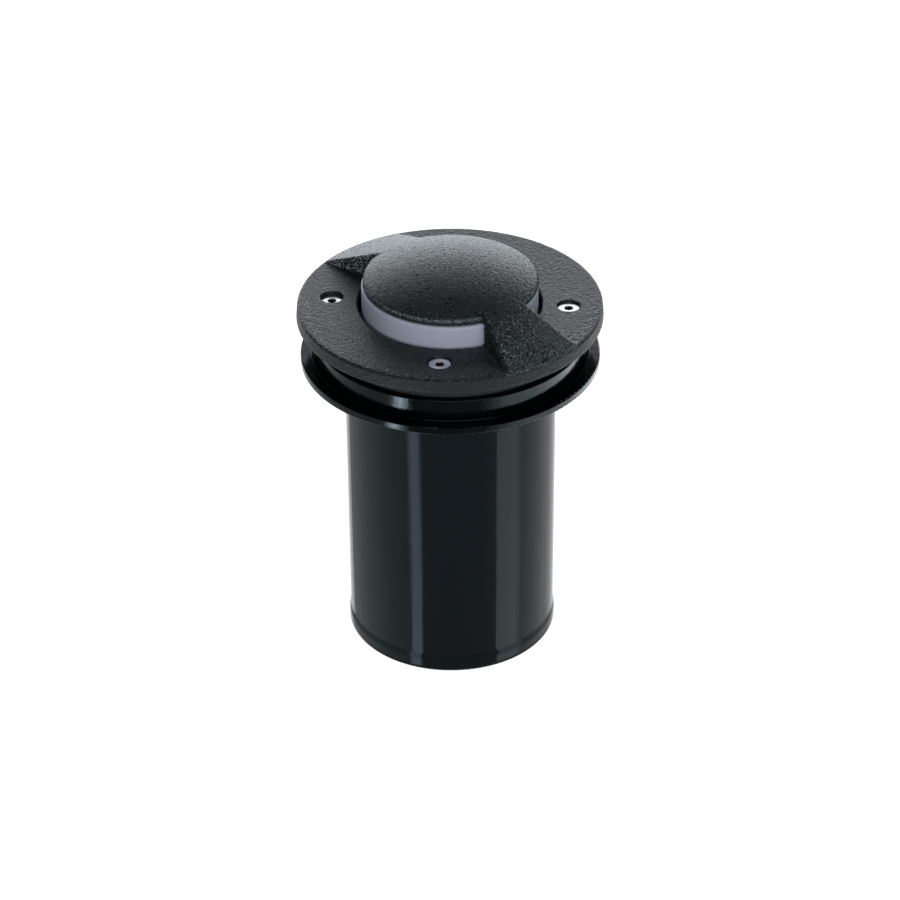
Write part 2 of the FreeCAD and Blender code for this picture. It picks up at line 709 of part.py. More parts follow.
# ---- lamp ----
def lamp_reflector():
    """The pressed glass reflector with its flat neck, neck bore and pin holes."""
    rim_low_z = lamp_front_z - LAMP_RIM
    neck_top_z = lamp_base_z + LAMP_NECK_HEIGHT
    bowl_r = LAMP_R - GIMBAL_LIP
    neck_r = LAMP_NECK_LONG / 2
    mid_r = neck_r + (bowl_r - neck_r) * BOWL_BELLY_OUT
    mid_z = neck_top_z + (rim_low_z - neck_top_z) * BOWL_BELLY_UP
    glass_r = bowl_r - LAMP_GLASS_WALL / 2
    ledge_z = lamp_front_z - FRONT_GLASS_THICKNESS
    inner_top_r = glass_r - LAMP_GLASS_WALL / 2
    wall = LAMP_GLASS_WALL
    outer_arc = Part.Arc(
        in_section(neck_r, neck_top_z),
        in_section(mid_r, mid_z),
        in_section(bowl_r, rim_low_z),
    )
    inner_arc = Part.Arc(
        in_section(inner_top_r, ledge_z),
        in_section(mid_r - wall, mid_z + wall),
        in_section(CAPSULE_R + wall, neck_top_z + wall),
    )
    outline = [
        in_section(bowl_r, rim_low_z),
        in_section(LAMP_R, rim_low_z),
        in_section(LAMP_R, lamp_front_z),
        in_section(glass_r, lamp_front_z),
        in_section(glass_r, ledge_z),
        in_section(inner_top_r, ledge_z),
    ]
    edges = [outer_arc.toShape()]
    for start, end in zip(outline, outline[1:]):
        edges.append(Part.makeLine(start, end))
    edges.append(inner_arc.toShape())
    floor_end = in_section(0, neck_top_z + wall)
    neck_centre = in_section(0, neck_top_z)
    edges.append(Part.makeLine(in_section(CAPSULE_R + wall, neck_top_z + wall), floor_end))
    edges.append(Part.makeLine(floor_end, neck_centre))
    edges.append(Part.makeLine(neck_centre, in_section(neck_r, neck_top_z)))
    bowl = Part.Face(Part.Wire(edges)).revolve(ORIGIN, Z_AXIS, FULL_TURN)
    neck = block(LAMP_NECK_LONG, LAMP_NECK_SHORT, LAMP_NECK_ROUND, lamp_base_z, neck_top_z + wall / 2)
    bore_low_z = neck_top_z + wall - CAPSULE_SUNK
    bore = rod(CAPSULE_R + CAPSULE_CLEARANCE, bore_low_z, neck_top_z + wall + CUT_OVER)
    cuts = [bore]
    for x in (-PIN_SPACING / 2, PIN_SPACING / 2):
        cuts.append(rod(PIN_R + PIN_CLEARANCE, lamp_base_z - CUT_OVER, lamp_base_z + PIN_SUNK, x))
    return bowl.fuse(neck).cut(cuts)


def lamp_front_glass():
    """The flat cover glass in the reflector's mouth."""
    radius = LAMP_R - GIMBAL_LIP - LAMP_GLASS_WALL / 2 - FRONT_GLASS_CLEARANCE
    return rod(radius, lamp_front_z - FRONT_GLASS_THICKNESS, lamp_front_z)


def lamp_capsule():
    """The small bulb that stands in the reflector's neck."""
    low_z = lamp_base_z + LAMP_NECK_HEIGHT + LAMP_GLASS_WALL - CAPSULE_SUNK
    high_z = low_z + CAPSULE_HEIGHT - CAPSULE_R
    stem = rod(CAPSULE_R, low_z, high_z)
    return stem.fuse(Part.makeSphere(CAPSULE_R, FreeCAD.Vector(0, 0, high_z)))


def lamp_pins():
    """The two contact pins, sunk in the neck and plugged into the holder."""
    low_z = lamp_base_z - PIN_LENGTH
    pins = []
    for x in (-PIN_SPACING / 2, PIN_SPACING / 2):
        pin = rod(PIN_R, low_z + PIN_R, lamp_base_z + PIN_SUNK, x)
        pins.append(pin.fuse(Part.makeSphere(PIN_R, FreeCAD.Vector(x, 0, low_z + PIN_R))))
    return group(pins)


def lamp_holder():
    """The ceramic holder that grips the pins, with lead holes underneath."""
    body = block(HOLDER_LONG, HOLDER_SHORT, HOLDER_ROUND, holder_z, lamp_base_z)
    socket_low_z = lamp_base_z - PIN_LENGTH - PIN_CLEARANCE
    cuts = []
    for x in (-PIN_SPACING / 2, PIN_SPACING / 2):
        cuts.append(rod(PIN_R + PIN_CLEARANCE, socket_low_z, lamp_base_z + CUT_OVER, x))
        cuts.append(rod(LEAD_R + LEAD_HOLE_CLEARANCE, holder_z - CUT_OVER, holder_z + LEAD_HOLE_DEPTH, x))
    return body.cut(cuts)


# ---- tilting ring ----
def gimbal_ring():
    """The ring that the lamp's rim rests in, with two flat-faced pivot bosses."""
    low_z = pivot_z - GIMBAL_UNDER
    high_z = pivot_z + GIMBAL_OVER
    lip_z = lamp_front_z - LAMP_RIM
    clip_z = lamp_front_z + CLIP_WIRE_R
    body = turned([
        (gimbal_inner_r - GIMBAL_LIP, low_z),
        (gimbal_outer_r, low_z, GIMBAL_ROUND),
        (gimbal_outer_r, high_z, GIMBAL_ROUND),
        (gimbal_inner_r, high_z, GIMBAL_ROUND),
        (gimbal_inner_r, lip_z),
        (gimbal_inner_r - GIMBAL_LIP, lip_z),
    ])
    boss = rod_along_x(PIVOT_BOSS_R, pivot_tip_x, boss_face_x, pivot_z)
    thread_r = PIVOT_R + THREAD_CLEARANCE
    hole = rod_along_x(thread_r, pivot_hole_x, boss_face_x + CUT_OVER, pivot_z)
    groove_r = CLIP_WIRE_R + CLIP_GROOVE_CLEARANCE
    groove = Part.makeTorus(gimbal_inner_r, groove_r, FreeCAD.Vector(0, 0, clip_z), Z_AXIS)
    body = body.fuse([boss, half_turned(boss)])
    return body.cut([hole, half_turned(hole), groove])


def lamp_clip():
    """The open spring wire that snaps in over the lamp's rim."""
    clip_z = lamp_front_z + CLIP_WIRE_R
    centre = in_section(gimbal_inner_r, clip_z)
    section = Part.Face(Part.Wire(Part.makeCircle(CLIP_WIRE_R, centre, Y_AXIS)))
    clip = section.revolve(ORIGIN, Z_AXIS, FULL_TURN - CLIP_GAP_ANGLE)
    clip.rotate(ORIGIN, Z_AXIS, CLIP_GAP_AT + CLIP_GAP_ANGLE / 2)
    return clip


def pivot_screws():
    """The two shouldered pivot screws, fast in the ring and running in the bracket arms."""
    head_low_x = arm_outer_x
    head_high_x = arm_outer_x + PIVOT_HEAD_HEIGHT
    shank = rod_along_x(PIVOT_R, pivot_tip_x, head_low_x, pivot_z)
    head = rod_along_x(PIVOT_HEAD_R, head_low_x, head_high_x, pivot_z)
    slot_low_x = head_high_x - PIVOT_HEAD_HEIGHT / 2
    slot_corner = FreeCAD.Vector(slot_low_x, -PIVOT_SLOT / 2, pivot_z - PIVOT_HEAD_R - CUT_OVER)
    slot = Part.makeBox(PIVOT_HEAD_HEIGHT, PIVOT_SLOT, 2 * (PIVOT_HEAD_R + CUT_OVER), slot_corner)
    screw = shank.fuse(head).cut(slot)
    return group([screw, half_turned(screw)])


def pivot_washers():
    """The two friction washers between the ring's bosses and the arms."""
    washer = rod_along_x(WASHER_R, boss_face_x, arm_inner_x, pivot_z)
    hole = rod_along_x(PIVOT_R + PIVOT_CLEARANCE, boss_face_x - CUT_OVER, arm_inner_x + CUT_OVER, pivot_z)
    washer = washer.cut(hole)
    return group([washer, half_turned(washer)])


# ---- bracket ----
def lamp_bracket():
    """The U-shaped sheet bracket on the can's bosses, with round-topped arms."""
    low_z = bracket_z
    half_width = BRACKET_WIDTH / 2
    top_z = pivot_z + half_width
    inner_bend = BRACKET_BEND - BRACKET_SHEET
    corners = [
        (-arm_outer_x, low_z, BRACKET_BEND),
        (arm_outer_x, low_z, BRACKET_BEND),
        (arm_outer_x, top_z),
        (arm_inner_x, top_z),
        (arm_inner_x, low_z + BRACKET_SHEET, inner_bend),
        (-arm_inner_x, low_z + BRACKET_SHEET, inner_bend),
        (-arm_inner_x, top_z),
        (-arm_outer_x, top_z),
    ]
    face = Part.Face(closed_wire(corners, in_section))
    face.translate(FreeCAD.Vector(0, -half_width, 0))
    sheet = face.extrude(FreeCAD.Vector(0, BRACKET_WIDTH, 0))
    beyond_x = arm_outer_x + CUT_OVER
    upright_corner = FreeCAD.Vector(-beyond_x, -half_width, low_z)
    upright = Part.makeBox(2 * beyond_x, BRACKET_WIDTH, pivot_z - low_z, upright_corner)
    round_top = rod_along_x(half_width, -beyond_x, beyond_x, pivot_z)
    sheet = sheet.common(upright.fuse(round_top))
    cuts = [rod_along_x(PIVOT_R + PIVOT_CLEARANCE, -beyond_x, beyond_x, pivot_z)]
    base_low_z = low_z - CUT_OVER
    base_high_z = low_z + BRACKET_SHEET + CUT_OVER
    cuts.append(rod(BRACKET_LEAD_HOLE_R, base_low_z, base_high_z))
    for x in (-BOSS_X, BOSS_X):
        cuts.append(rod(BRACKET_SCREW_R + BRACKET_SCREW_CLEARANCE, base_low_z, base_high_z, x))
    return sheet.cut(cuts)


def bracket_screws():
    """The two pan-head screws that hold the bracket on its bosses."""
    seat_z = bracket_z + BRACKET_SHEET
    head_top_z = seat_z + BRACKET_SCREW_HEAD_HEIGHT
    tip_z = seat_z - BRACKET_SCREW_LENGTH
    body = turned([
        (0, tip_z),
        (BRACKET_SCREW_R, tip_z, BRACKET_SCREW_TIP_ROUND),
        (BRACKET_SCREW_R, seat_z),
        (BRACKET_SCREW_HEAD_R, seat_z),
        (BRACKET_SCREW_HEAD_R, head_top_z, BRACKET_SCREW_HEAD_ROUND),
        (0, head_top_z),
    ])
    slot_low_z = head_top_z - CROSS_DEPTH
    cross = block(CROSS_LONG, CROSS_SLOT, CROSS_ROUND, slot_low_z, head_top_z + CUT_OVER)
    cross = cross.fuse(block(CROSS_SLOT, CROSS_LONG, CROSS_ROUND, slot_low_z, head_top_z + CUT_OVER))
    screw = body.cut(cross)
    screws = []
    for x in (-BOSS_X, BOSS_X):
        copy = screw.copy()
        copy.translate(FreeCAD.Vector(x, 0, 0))
        screws.append(copy)
    return group(screws)


# ---- terminal block and leads ----
def terminal_screw_places():
    """The four clamping screws: two to a pole."""
    places = []
    for x in (-BLOCK_POLE_X, BLOCK_POLE_X):
        places.append((x, BLOCK_Y + BLOCK_SCREW_INSET))
        places.append((x, BLOCK_Y + BLOCK_SHORT - BLOCK_SCREW_INSET))
    return places


def terminal_block():
    """The two-pole block on the can's floor, where the leads meet the supply."""
    high_z = can_floor_z + BLOCK_HEIGHT
    wire_z = can_floor_z + BLOCK_WIRE_Z
    body = block(BLOCK_LONG, BLOCK_SHORT, BLOCK_ROUND, can_floor_z, high_z, 0, BLOCK_Y + BLOCK_SHORT / 2)
    cuts = []
    for x in (-BLOCK_POLE_X, BLOCK_POLE_X):
        start = FreeCAD.Vector(x, BLOCK_Y - CUT_OVER, wire_z)
        cuts.append(Part.makeCylinder(BLOCK_WIRE_HOLE_R, BLOCK_SHORT + 2 * CUT_OVER, start, Y_AXIS))
    for x, y in terminal_screw_places():
        cuts.append(rod(BLOCK_SCREW_R + BLOCK_SCREW_CLEARANCE, wire_z, high_z + CUT_OVER, x, y))
    return body.cut(cuts)


def terminal_screws():
    """The four slotted brass screws of the block."""
    low_z = can_floor_z + BLOCK_WIRE_Z + LEAD_R + BLOCK_SCREW_OVER_LEAD
    high_z = can_floor_z + BLOCK_HEIGHT - BLOCK_SCREW_SUNK
    beyond_x = BLOCK_SCREW_R + CUT_OVER
    slot_corner = FreeCAD.Vector(-beyond_x, -BLOCK_SLOT / 2, high_z - BLOCK_SLOT_DEPTH)
    slot = Part.makeBox(2 * beyond_x, BLOCK_SLOT, BLOCK_SLOT_DEPTH + CUT_OVER, slot_corner)
    screw = rod(BLOCK_SCREW_R, low_z, high_z).cut(slot)
    screws = []
    for x, y in terminal_screw_places():
        copy = screw.copy()
        copy.translate(FreeCAD.Vector(x, y, 0))
        screws.append(copy)
    return group(screws)


def lead_route(side):
    """A lamp lead's corner points: down from the holder, then across into the block."""
    pin_x = side * PIN_SPACING / 2
    pole_x = side * BLOCK_POLE_X
    wire_z = can_floor_z + BLOCK_WIRE_Z
    start = FreeCAD.Vector(pin_x, 0, holder_z + LEAD_HOLE_DEPTH)
    turn_down = FreeCAD.Vector(pin_x, 0, holder_z - LEAD_DROP)
    turn_in = FreeCAD.Vector(pole_x, LEAD_BEND, wire_z)
    end = FreeCAD.Vector(pole_x, BLOCK_Y + LEAD_IN_BLOCK, wire_z)
    return [start, turn_down, turn_in, end]


def tube_along(route, radius):
    """A round wire along straight runs joined by tangent arcs."""
    edges = []
    run_start = route[0]
    for before, corner, after in zip(route, route[1:], route[2:]):
        shorter = min((corner - before).Length, (after - corner).Length)
        half_angle = (before - corner).getAngle(after - corner) / 2
        bend_r = LEAD_RUN_SHARE * shorter * math.tan(half_angle)
        arc, start, end = corner_edge(before, corner, after, bend_r)
        print("lead bend radius %.1f" % bend_r)
        edges.append(Part.makeLine(run_start, start))
        edges.append(arc)
        run_start = end
    edges.append(Part.makeLine(run_start, route[-1]))
    path = Part.Wire(edges)
    section = Part.Wire(Part.makeCircle(radius, route[0], route[1] - route[0]))
    tube = path.makePipeShell([section], True, False)
    print("lead volume %.2f, section times length %.2f" % (tube.Volume, math.pi * radius**2 * path.Length))
    return tube


def lamp_leads():
    """The two insulated leads between the holder and the block."""
    return group([tube_along(lead_route(side), LEAD_R) for side in (-1, 1)])


# ---- cable gland ----
def gland_body():
    """The gland's body: hexagon under the floor, thread through it, socket for the seal below."""
    hex_top_z = can_low_z - GLAND_WASHER_THICKNESS
    hex_low_z = hex_top_z - GLAND_HEX_HEIGHT
    neck_low_z = gland_low_z + GLAND_CAP_FLOOR + GLAND_FIT
    top_z = can_floor_z + GLAND_ABOVE_FLOOR
    body = rod(GLAND_THREAD_R, hex_low_z, top_z)
    body = body.fuse([hexagon(GLAND_HEX, hex_low_z, hex_top_z), rod(GLAND_NECK_R, neck_low_z, hex_low_z)])
    bore = rod(GLAND_BORE_R, neck_low_z - CUT_OVER, top_z + CUT_OVER)
    socket = rod(GLAND_NECK_R - GLAND_NECK_WALL, neck_low_z - CUT_OVER, hex_low_z)
    return body.cut([bore, socket])


def gland_washer():
    """The rubber washer between the gland's hexagon and the can's floor."""
    inner_r = GLAND_THREAD_R + GLAND_HOLE_CLEARANCE
    return ring(inner_r, GLAND_WASHER_R, can_low_z - GLAND_WASHER_THICKNESS, can_low_z)


def gland_locknut():
    """The thin nut inside the can."""
    body = hexagon(GLAND_NUT_HEX, can_floor_z, can_floor_z + GLAND_NUT_HEIGHT)
    thread_r = GLAND_THREAD_R + THREAD_CLEARANCE
    return body.cut(rod(thread_r, can_floor_z - CUT_OVER, can_floor_z + GLAND_NUT_HEIGHT + CUT_OVER))


def gland_seal():
    """The rubber bush that closes round the supply cable."""
    outer_r = GLAND_NECK_R - GLAND_NECK_WALL - GLAND_SEAL_CLEARANCE
    low_z = gland_low_z + GLAND_CAP_FLOOR
    high_z = can_low_z - GLAND_WASHER_THICKNESS - GLAND_HEX_HEIGHT
    return ring(GLAND_SEAL_BORE_R, outer_r, low_z, high_z)


def gland_cap():
    """The fluted cap that squeezes the bush."""
    high_z = can_low_z - GLAND_WASHER_THICKNESS - GLAND_HEX_HEIGHT - GLAND_FIT
    bore_r = GLAND_NECK_R + GLAND_CAP_CLEARANCE
    floor_z = gland_low_z + GLAND_CAP_FLOOR
    body = turned([
        (GLAND_CAP_HOLE_R, gland_low_z, GLAND_CAP_ROUND),
        (GLAND_CAP_R, gland_low_z, GLAND_CAP_BOTTOM_ROUND),
        (GLAND_CAP_R, high_z, GLAND_CAP_ROUND),
        (bore_r, high_z),
        (bore_r, floor_z),
        (GLAND_CAP_HOLE_R, floor_z),
    ])
    flute = rod(GLAND_FLUTE_R, gland_low_z - CUT_OVER, high_z + CUT_OVER)
    flute_at_r = GLAND_CAP_R + GLAND_FLUTE_R / 2
    step = FULL_TURN / GLAND_CAP_FLUTES
    flutes = [on_circle(flute, flute_at_r, i * step) for i in range(GLAND_CAP_FLUTES)]
    return body.cut(flutes)


SUB_PARTS = {
    "sleeve_tube": sleeve_tube,
    "sleeve_flange": sleeve_flange,
    "seat_ring": seat_ring,
    "can": can,
    "collar": collar,
    "thread_inserts": thread_inserts,
    "lens_seal": lens_seal,
    "lens": lens,
    "cover_gasket": cover_gasket,
    "cover": cover,
    "cover_screws": cover_screws,
    "lamp_bracket": lamp_bracket,
    "bracket_screws": bracket_screws,
    "gimbal_ring": gimbal_ring,
    "pivot_screws": pivot_screws,
    "pivot_washers": pivot_washers,
    "lamp_clip": lamp_clip,
    "lamp_reflector": lamp_reflector,
    "lamp_front_glass": lamp_front_glass,
    "lamp_capsule": lamp_capsule,
    "lamp_pins": lamp_pins,
    "lamp_holder": lamp_holder,
    "lamp_leads": lamp_leads,
    "terminal_block": terminal_block,
    "terminal_screws": terminal_screws,
    "gland_body": gland_body,
    "gland_washer": gland_washer,
    "gland_locknut": gland_locknut,
    "gland_seal": gland_seal,
    "gland_cap": gland_cap,
}

os.makedirs("parts", exist_ok=True)
for name, make in SUB_PARTS.items():
    shape = make()
    shape.exportStep("parts/" + name + ".step")
    box = shape.BoundBox
    print("%-18s solids %d  volume %9.1f  valid %s  z %.1f to %.1f" % (
        name, len(shape.Solids), shape.Volume, shape.isValid(), box.ZMin, box.ZMax))
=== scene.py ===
# %% [markdown]
# # An in-ground well light
# A buried plastic sleeve, a sealed fixture that drops into it, and a cast cover with a hood
# over two side windows. The CAD model is loaded as a fixed frame: it already has the true
# size and place of every piece. So this script only gives the pieces their finish, models
# again what a casting does that a drawing doesn't, and makes new soft leads for the lamp.

# %% Load the frame
import math
import bpy
from mathutils import Matrix, Vector


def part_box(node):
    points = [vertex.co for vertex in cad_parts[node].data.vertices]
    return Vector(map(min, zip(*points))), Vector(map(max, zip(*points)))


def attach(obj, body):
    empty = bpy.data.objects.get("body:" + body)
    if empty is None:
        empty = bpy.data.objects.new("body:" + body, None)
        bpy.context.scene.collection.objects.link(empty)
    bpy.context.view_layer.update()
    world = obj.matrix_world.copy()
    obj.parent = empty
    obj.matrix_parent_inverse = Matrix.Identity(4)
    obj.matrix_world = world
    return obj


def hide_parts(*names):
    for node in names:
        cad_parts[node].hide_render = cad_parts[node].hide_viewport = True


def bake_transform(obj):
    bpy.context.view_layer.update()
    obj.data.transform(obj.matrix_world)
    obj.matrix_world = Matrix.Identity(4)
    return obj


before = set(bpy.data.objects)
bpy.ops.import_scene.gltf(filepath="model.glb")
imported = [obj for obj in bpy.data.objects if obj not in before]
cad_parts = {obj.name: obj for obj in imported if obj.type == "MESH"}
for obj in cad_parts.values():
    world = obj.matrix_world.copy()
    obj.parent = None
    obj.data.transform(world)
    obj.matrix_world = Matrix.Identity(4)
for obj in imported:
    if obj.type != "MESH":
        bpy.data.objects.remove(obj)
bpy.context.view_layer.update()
MM = 0.001

# %% [markdown]
# ## The camera
# The photograph looks down at the light by a third of a right angle, from well back, so its
# upright sides stay nearly parallel. A long lens and a far camera give the same. The camera
# could be placed by eye and nudged, but its distance, pitch and roll follow from the ellipses
# of the cover and the flange, so they are written as numbers here.

# %% Camera
CAMERA_DISTANCE = 1281.2 * MM
CAMERA_PITCH = math.radians(32.81)
CAMERA_ROLL = math.radians(-0.39)
CAMERA_AZIMUTH = math.radians(5.0)
CAMERA_LENS = 119.77
NEAREST_SEEN = 0.01
AIM = Vector((-0.4 * MM, 0, 84.45 * MM))

ahead = Vector((0, math.cos(CAMERA_PITCH), -math.sin(CAMERA_PITCH)))
side = Vector((1, 0, 0))
up = side.cross(ahead)
rolled_side = math.cos(CAMERA_ROLL) * side + math.sin(CAMERA_ROLL) * up
rolled_up = math.cos(CAMERA_ROLL) * up - math.sin(CAMERA_ROLL) * side
turn = Matrix.Rotation(CAMERA_AZIMUTH, 4, "Z")
axes = Matrix((rolled_side, rolled_up, -ahead)).transposed().to_4x4()

camera_data = bpy.data.cameras.new("camera")
camera_data.lens = CAMERA_LENS
camera_data.clip_start = NEAREST_SEEN
camera = bpy.data.objects.new("camera", camera_data)
bpy.context.scene.collection.objects.link(camera)
camera.matrix_world = turn @ Matrix.Translation(AIM - CAMERA_DISTANCE * ahead) @ axes
bpy.context.scene.camera = camera
bpy.context.scene.view_settings.view_transform = "Standard"
print("camera at", [round(v, 3) for v in camera.matrix_world.translation])

# %% [markdown]
# ## Helpers for finishes: material and textures
# Every finish here is a Principled shader with a few textures in front of it. They read Object
# coordinates, which are metres on the real piece, so a grain of half a millimetre is written
# as half a millimetre. A helper turns that size into a texture's scale.

# %% Material and textures
def new_finish(name, colour, roughness, metallic=0.0, specular=0.5):
    """A Principled material, with its plain numbers set on the shader's own sockets."""
    material = bpy.data.materials.new(name)
    material.use_nodes = True
    surface = surface_of(material)
    surface.inputs["Base Color"].default_value = (*colour, 1)
    surface.inputs["Roughness"].default_value = roughness
    surface.inputs["Metallic"].default_value = metallic
    surface.inputs["Specular IOR Level"].default_value = specular
    return material


def surface_of(material):
    """The shader of a finish."""
    return material.node_tree.nodes["Principled BSDF"]


def place(material, stretch=(1, 1, 1)):
    """Object coordinates, with each axis stretched."""
    nodes = material.node_tree.nodes
    coordinates = nodes.new("ShaderNodeTexCoord")
    mapping = nodes.new("ShaderNodeMapping")
    mapping.inputs["Scale"].default_value = stretch
    material.node_tree.links.new(coordinates.outputs["Object"], mapping.inputs["Vector"])
    return mapping.outputs["Vector"]


def noise(material, size, detail=2.0, stretch=(1, 1, 1), roughness=0.5):
    """Cloudy noise whose lumps are about size metres across."""
    texture = material.node_tree.nodes.new("ShaderNodeTexNoise")
    texture.inputs["Scale"].default_value = 1 / size
    texture.inputs["Detail"].default_value = detail
    texture.inputs["Roughness"].default_value = roughness
    material.node_tree.links.new(place(material, stretch), texture.inputs["Vector"])
    return texture.outputs["Fac"]

# %% [markdown]
# ## Helpers for finishes: sums on textures
# A texture alone is a soft grey cloud. Map Range picks the part of it that is wanted, and
# Math nodes join it to others. A number that the mesh's own points carry joins in the same
# way, so one finish can change from place to place on a piece.

# %% Sums on textures
def remap(material, value, low, high, new_low=0.0, new_high=1.0):
    """Stretches one range of a value to another and clips it there."""
    node = material.node_tree.nodes.new("ShaderNodeMapRange")
    node.inputs["From Min"].default_value = low
    node.inputs["From Max"].default_value = high
    node.inputs["To Min"].default_value = new_low
    node.inputs["To Max"].default_value = new_high
    material.node_tree.links.new(value, node.inputs["Value"])
    return node.outputs["Result"]


def combine(material, operation, a, b):
    """A Math node on two values, each a socket or a number."""
    node = material.node_tree.nodes.new("ShaderNodeMath")
    node.operation = operation
    for socket, value in zip(node.inputs, (a, b)):
        if isinstance(value, (int, float)):
            socket.default_value = value
        else:
            material.node_tree.links.new(value, socket)
    return node.outputs["Value"]


def amount_of(material, name):
    """A number that each point of the mesh carries."""
    attribute = material.node_tree.nodes.new("ShaderNodeAttribute")
    attribute.attribute_name = name
    return attribute.outputs["Fac"]

# %% [markdown]
# ## Helpers for finishes: colour, roughness and bumps
# What the textures give ends in one of three places. It blends two colours, it makes the
# surface smoother or rougher, or it raises bumps, each set of bumps on top of the last.

# %% Colour, roughness and bumps
DARK_CLOUD = 0.3
LIGHT_CLOUD = 0.7


def blend_colours(material, factor, low, high):
    """Base colour from one colour to another as factor goes from 0 to 1."""
    node = material.node_tree.nodes.new("ShaderNodeMix")
    node.data_type = "RGBA"
    node.inputs["A"].default_value = (*low, 1)
    node.inputs["B"].default_value = (*high, 1)
    links = material.node_tree.links
    links.new(factor, node.inputs["Factor"])
    links.new(node.outputs["Result"], surface_of(material).inputs["Base Color"])


def vary_roughness(material, value, low, high):
    """Roughness from low to high as a texture goes from dark to light."""
    spread = remap(material, value, DARK_CLOUD, LIGHT_CLOUD, low, high)
    material.node_tree.links.new(spread, surface_of(material).inputs["Roughness"])


def add_bump(material, height, depth):
    """Bumps of that depth in metres, on top of any bump that is there."""
    node = material.node_tree.nodes.new("ShaderNodeBump")
    node.inputs["Distance"].default_value = depth
    links = material.node_tree.links
    links.new(height, node.inputs["Height"])
    normal = surface_of(material).inputs["Normal"]
    if normal.is_linked:
        links.new(normal.links[0].from_socket, node.inputs["Normal"])
    links.new(node.outputs["Normal"], normal)


def give(material, *node_names):
    """Puts a finish on CAD nodes."""
    for name in node_names:
        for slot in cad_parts[name].material_slots:
            slot.material = material
    print(material.name, "on", ", ".join(node_names))

# %% [markdown]
# ## Modelling by hand: round solids
# The cover is cast, and everything on a casting is a little soft: corners are rounded, walls
# aren't quite flat and the sand leaves its grain. The CAD node is too exact for that, so the
# cover is modelled again in the same space. Its plate and hood are round, so each starts as a
# filled circle that is extruded upwards ring by ring and widened or narrowed at each ring. A
# spin would do as well, but extruding keeps the ends closed.

# %% Round solids
ROUND_STEPS = 180


def work_on(piece):
    """Leaves one piece selected and active."""
    bpy.ops.object.select_all(action="DESELECT")
    piece.select_set(True)
    bpy.context.view_layer.objects.active = piece


def round_solid(name, outline):
    """A closed round solid from its (radius, height) rings in millimetres, lowest first."""
    bpy.ops.object.select_all(action="DESELECT")
    first_radius, first_height = (value * MM for value in outline[0])
    bpy.ops.mesh.primitive_circle_add(
        vertices=ROUND_STEPS, radius=first_radius, fill_type="NGON",
    )
    piece = bpy.context.object
    piece.name = name
    bpy.ops.object.mode_set(mode="EDIT")
    bpy.ops.mesh.select_all(action="SELECT")
    bpy.ops.transform.translate(value=(0, 0, first_height))
    for (radius, height), (next_radius, next_height) in zip(outline, outline[1:]):
        rise = {"value": (0, 0, (next_height - height) * MM)}
        bpy.ops.mesh.extrude_region_move(TRANSFORM_OT_translate=rise)
        share = next_radius / radius
        bpy.ops.transform.resize(value=(share, share, 1), center_override=(0, 0, 0))
    bpy.ops.mesh.select_all(action="SELECT")
    bpy.ops.mesh.normals_make_consistent(inside=False)
    bpy.ops.object.mode_set(mode="OBJECT")
    return piece

# %% [markdown]
# ## Modelling by hand: joining and cutting
# One solid is added to another, or taken away from it, by a Boolean modifier that is applied
# at once. The exact solver keeps the result closed, which the remesh below needs.

# %% Joining and cutting
def finish_with(piece, kind, **settings):
    """Adds a modifier with its settings and applies it."""
    modifier = piece.modifiers.new(kind.lower(), kind)
    for setting, value in settings.items():
        setattr(modifier, setting, value)
    work_on(piece)
    bpy.ops.object.modifier_apply(modifier=modifier.name)


def join_solid(piece, tool):
    """Adds a tool to a piece and uses it up."""
    finish_with(piece, "BOOLEAN", operation="UNION", solver="EXACT", object=tool)
    bpy.data.objects.remove(tool)


def cut_solid(piece, tool):
    """Takes a tool away from a piece and uses it up."""
    finish_with(piece, "BOOLEAN", operation="DIFFERENCE", solver="EXACT", object=tool)
    bpy.data.objects.remove(tool)

# %% [markdown]
# ## The casting: plate and hood
# The plate carries a hood, which is a shallow dome with a cone running down to the rim. Two
# windows are later cut out of the cone, and what is left of it are the two wings. That is how
# the drawing does it too, and it makes the wings run into the dome without a seam.

# %% Plate and hood
PLATE_OUTLINE = [
    (54.0, 147.0), (54.0, 152.0), (63.85, 152.0), (63.95, 152.4), (63.5, 157.7), (63.2, 158.0),
]
FACE = 158.0
LIP_RADIUS = 35.6
LIP_TOP = 169.8
DOME_RADIUS = 89.74
DOME_RINGS = (32, 28, 24, 20, 16, 12, 8, 4, 1)
WING_END = 62.9
WING_SUNK = 4.0


def dome_ring(radius, ball):
    """A ring of a dome whose ball is that large, on the middle that the hood's dome has."""
    middle = LIP_TOP - math.sqrt(DOME_RADIUS**2 - LIP_RADIUS**2)
    return radius, middle + math.sqrt(ball**2 - radius**2)


casting = round_solid("cast_cover", PLATE_OUTLINE)
hood = [(WING_END, FACE - WING_SUNK), (WING_END, FACE), (LIP_RADIUS, LIP_TOP)]
hood += [dome_ring(radius, DOME_RADIUS) for radius in DOME_RINGS]
join_solid(casting, round_solid("hood", hood))
print("plate and hood", len(casting.data.polygons), "faces")

# %% [markdown]
# ## The casting: space for the lens
# The lens is a cup with a flange, pushed up into the casting from below. So the casting has a
# bore for the cup and a wider seat for the flange, and the hood is hollow under its dome. Each
# is one round solid that is taken away.

# %% Space for the lens
BELOW = 140.0
WINDOW_TOP = 166.7
CUP_BORE = 38.1
FLANGE_SEAT = 44.6
FLANGE_TOP = 148.0
UNDER_RADIUS = 33.68
UNDER_RINGS = (30, 24, 18, 12, 6, 1)
HOOD_SHELL = 3.6

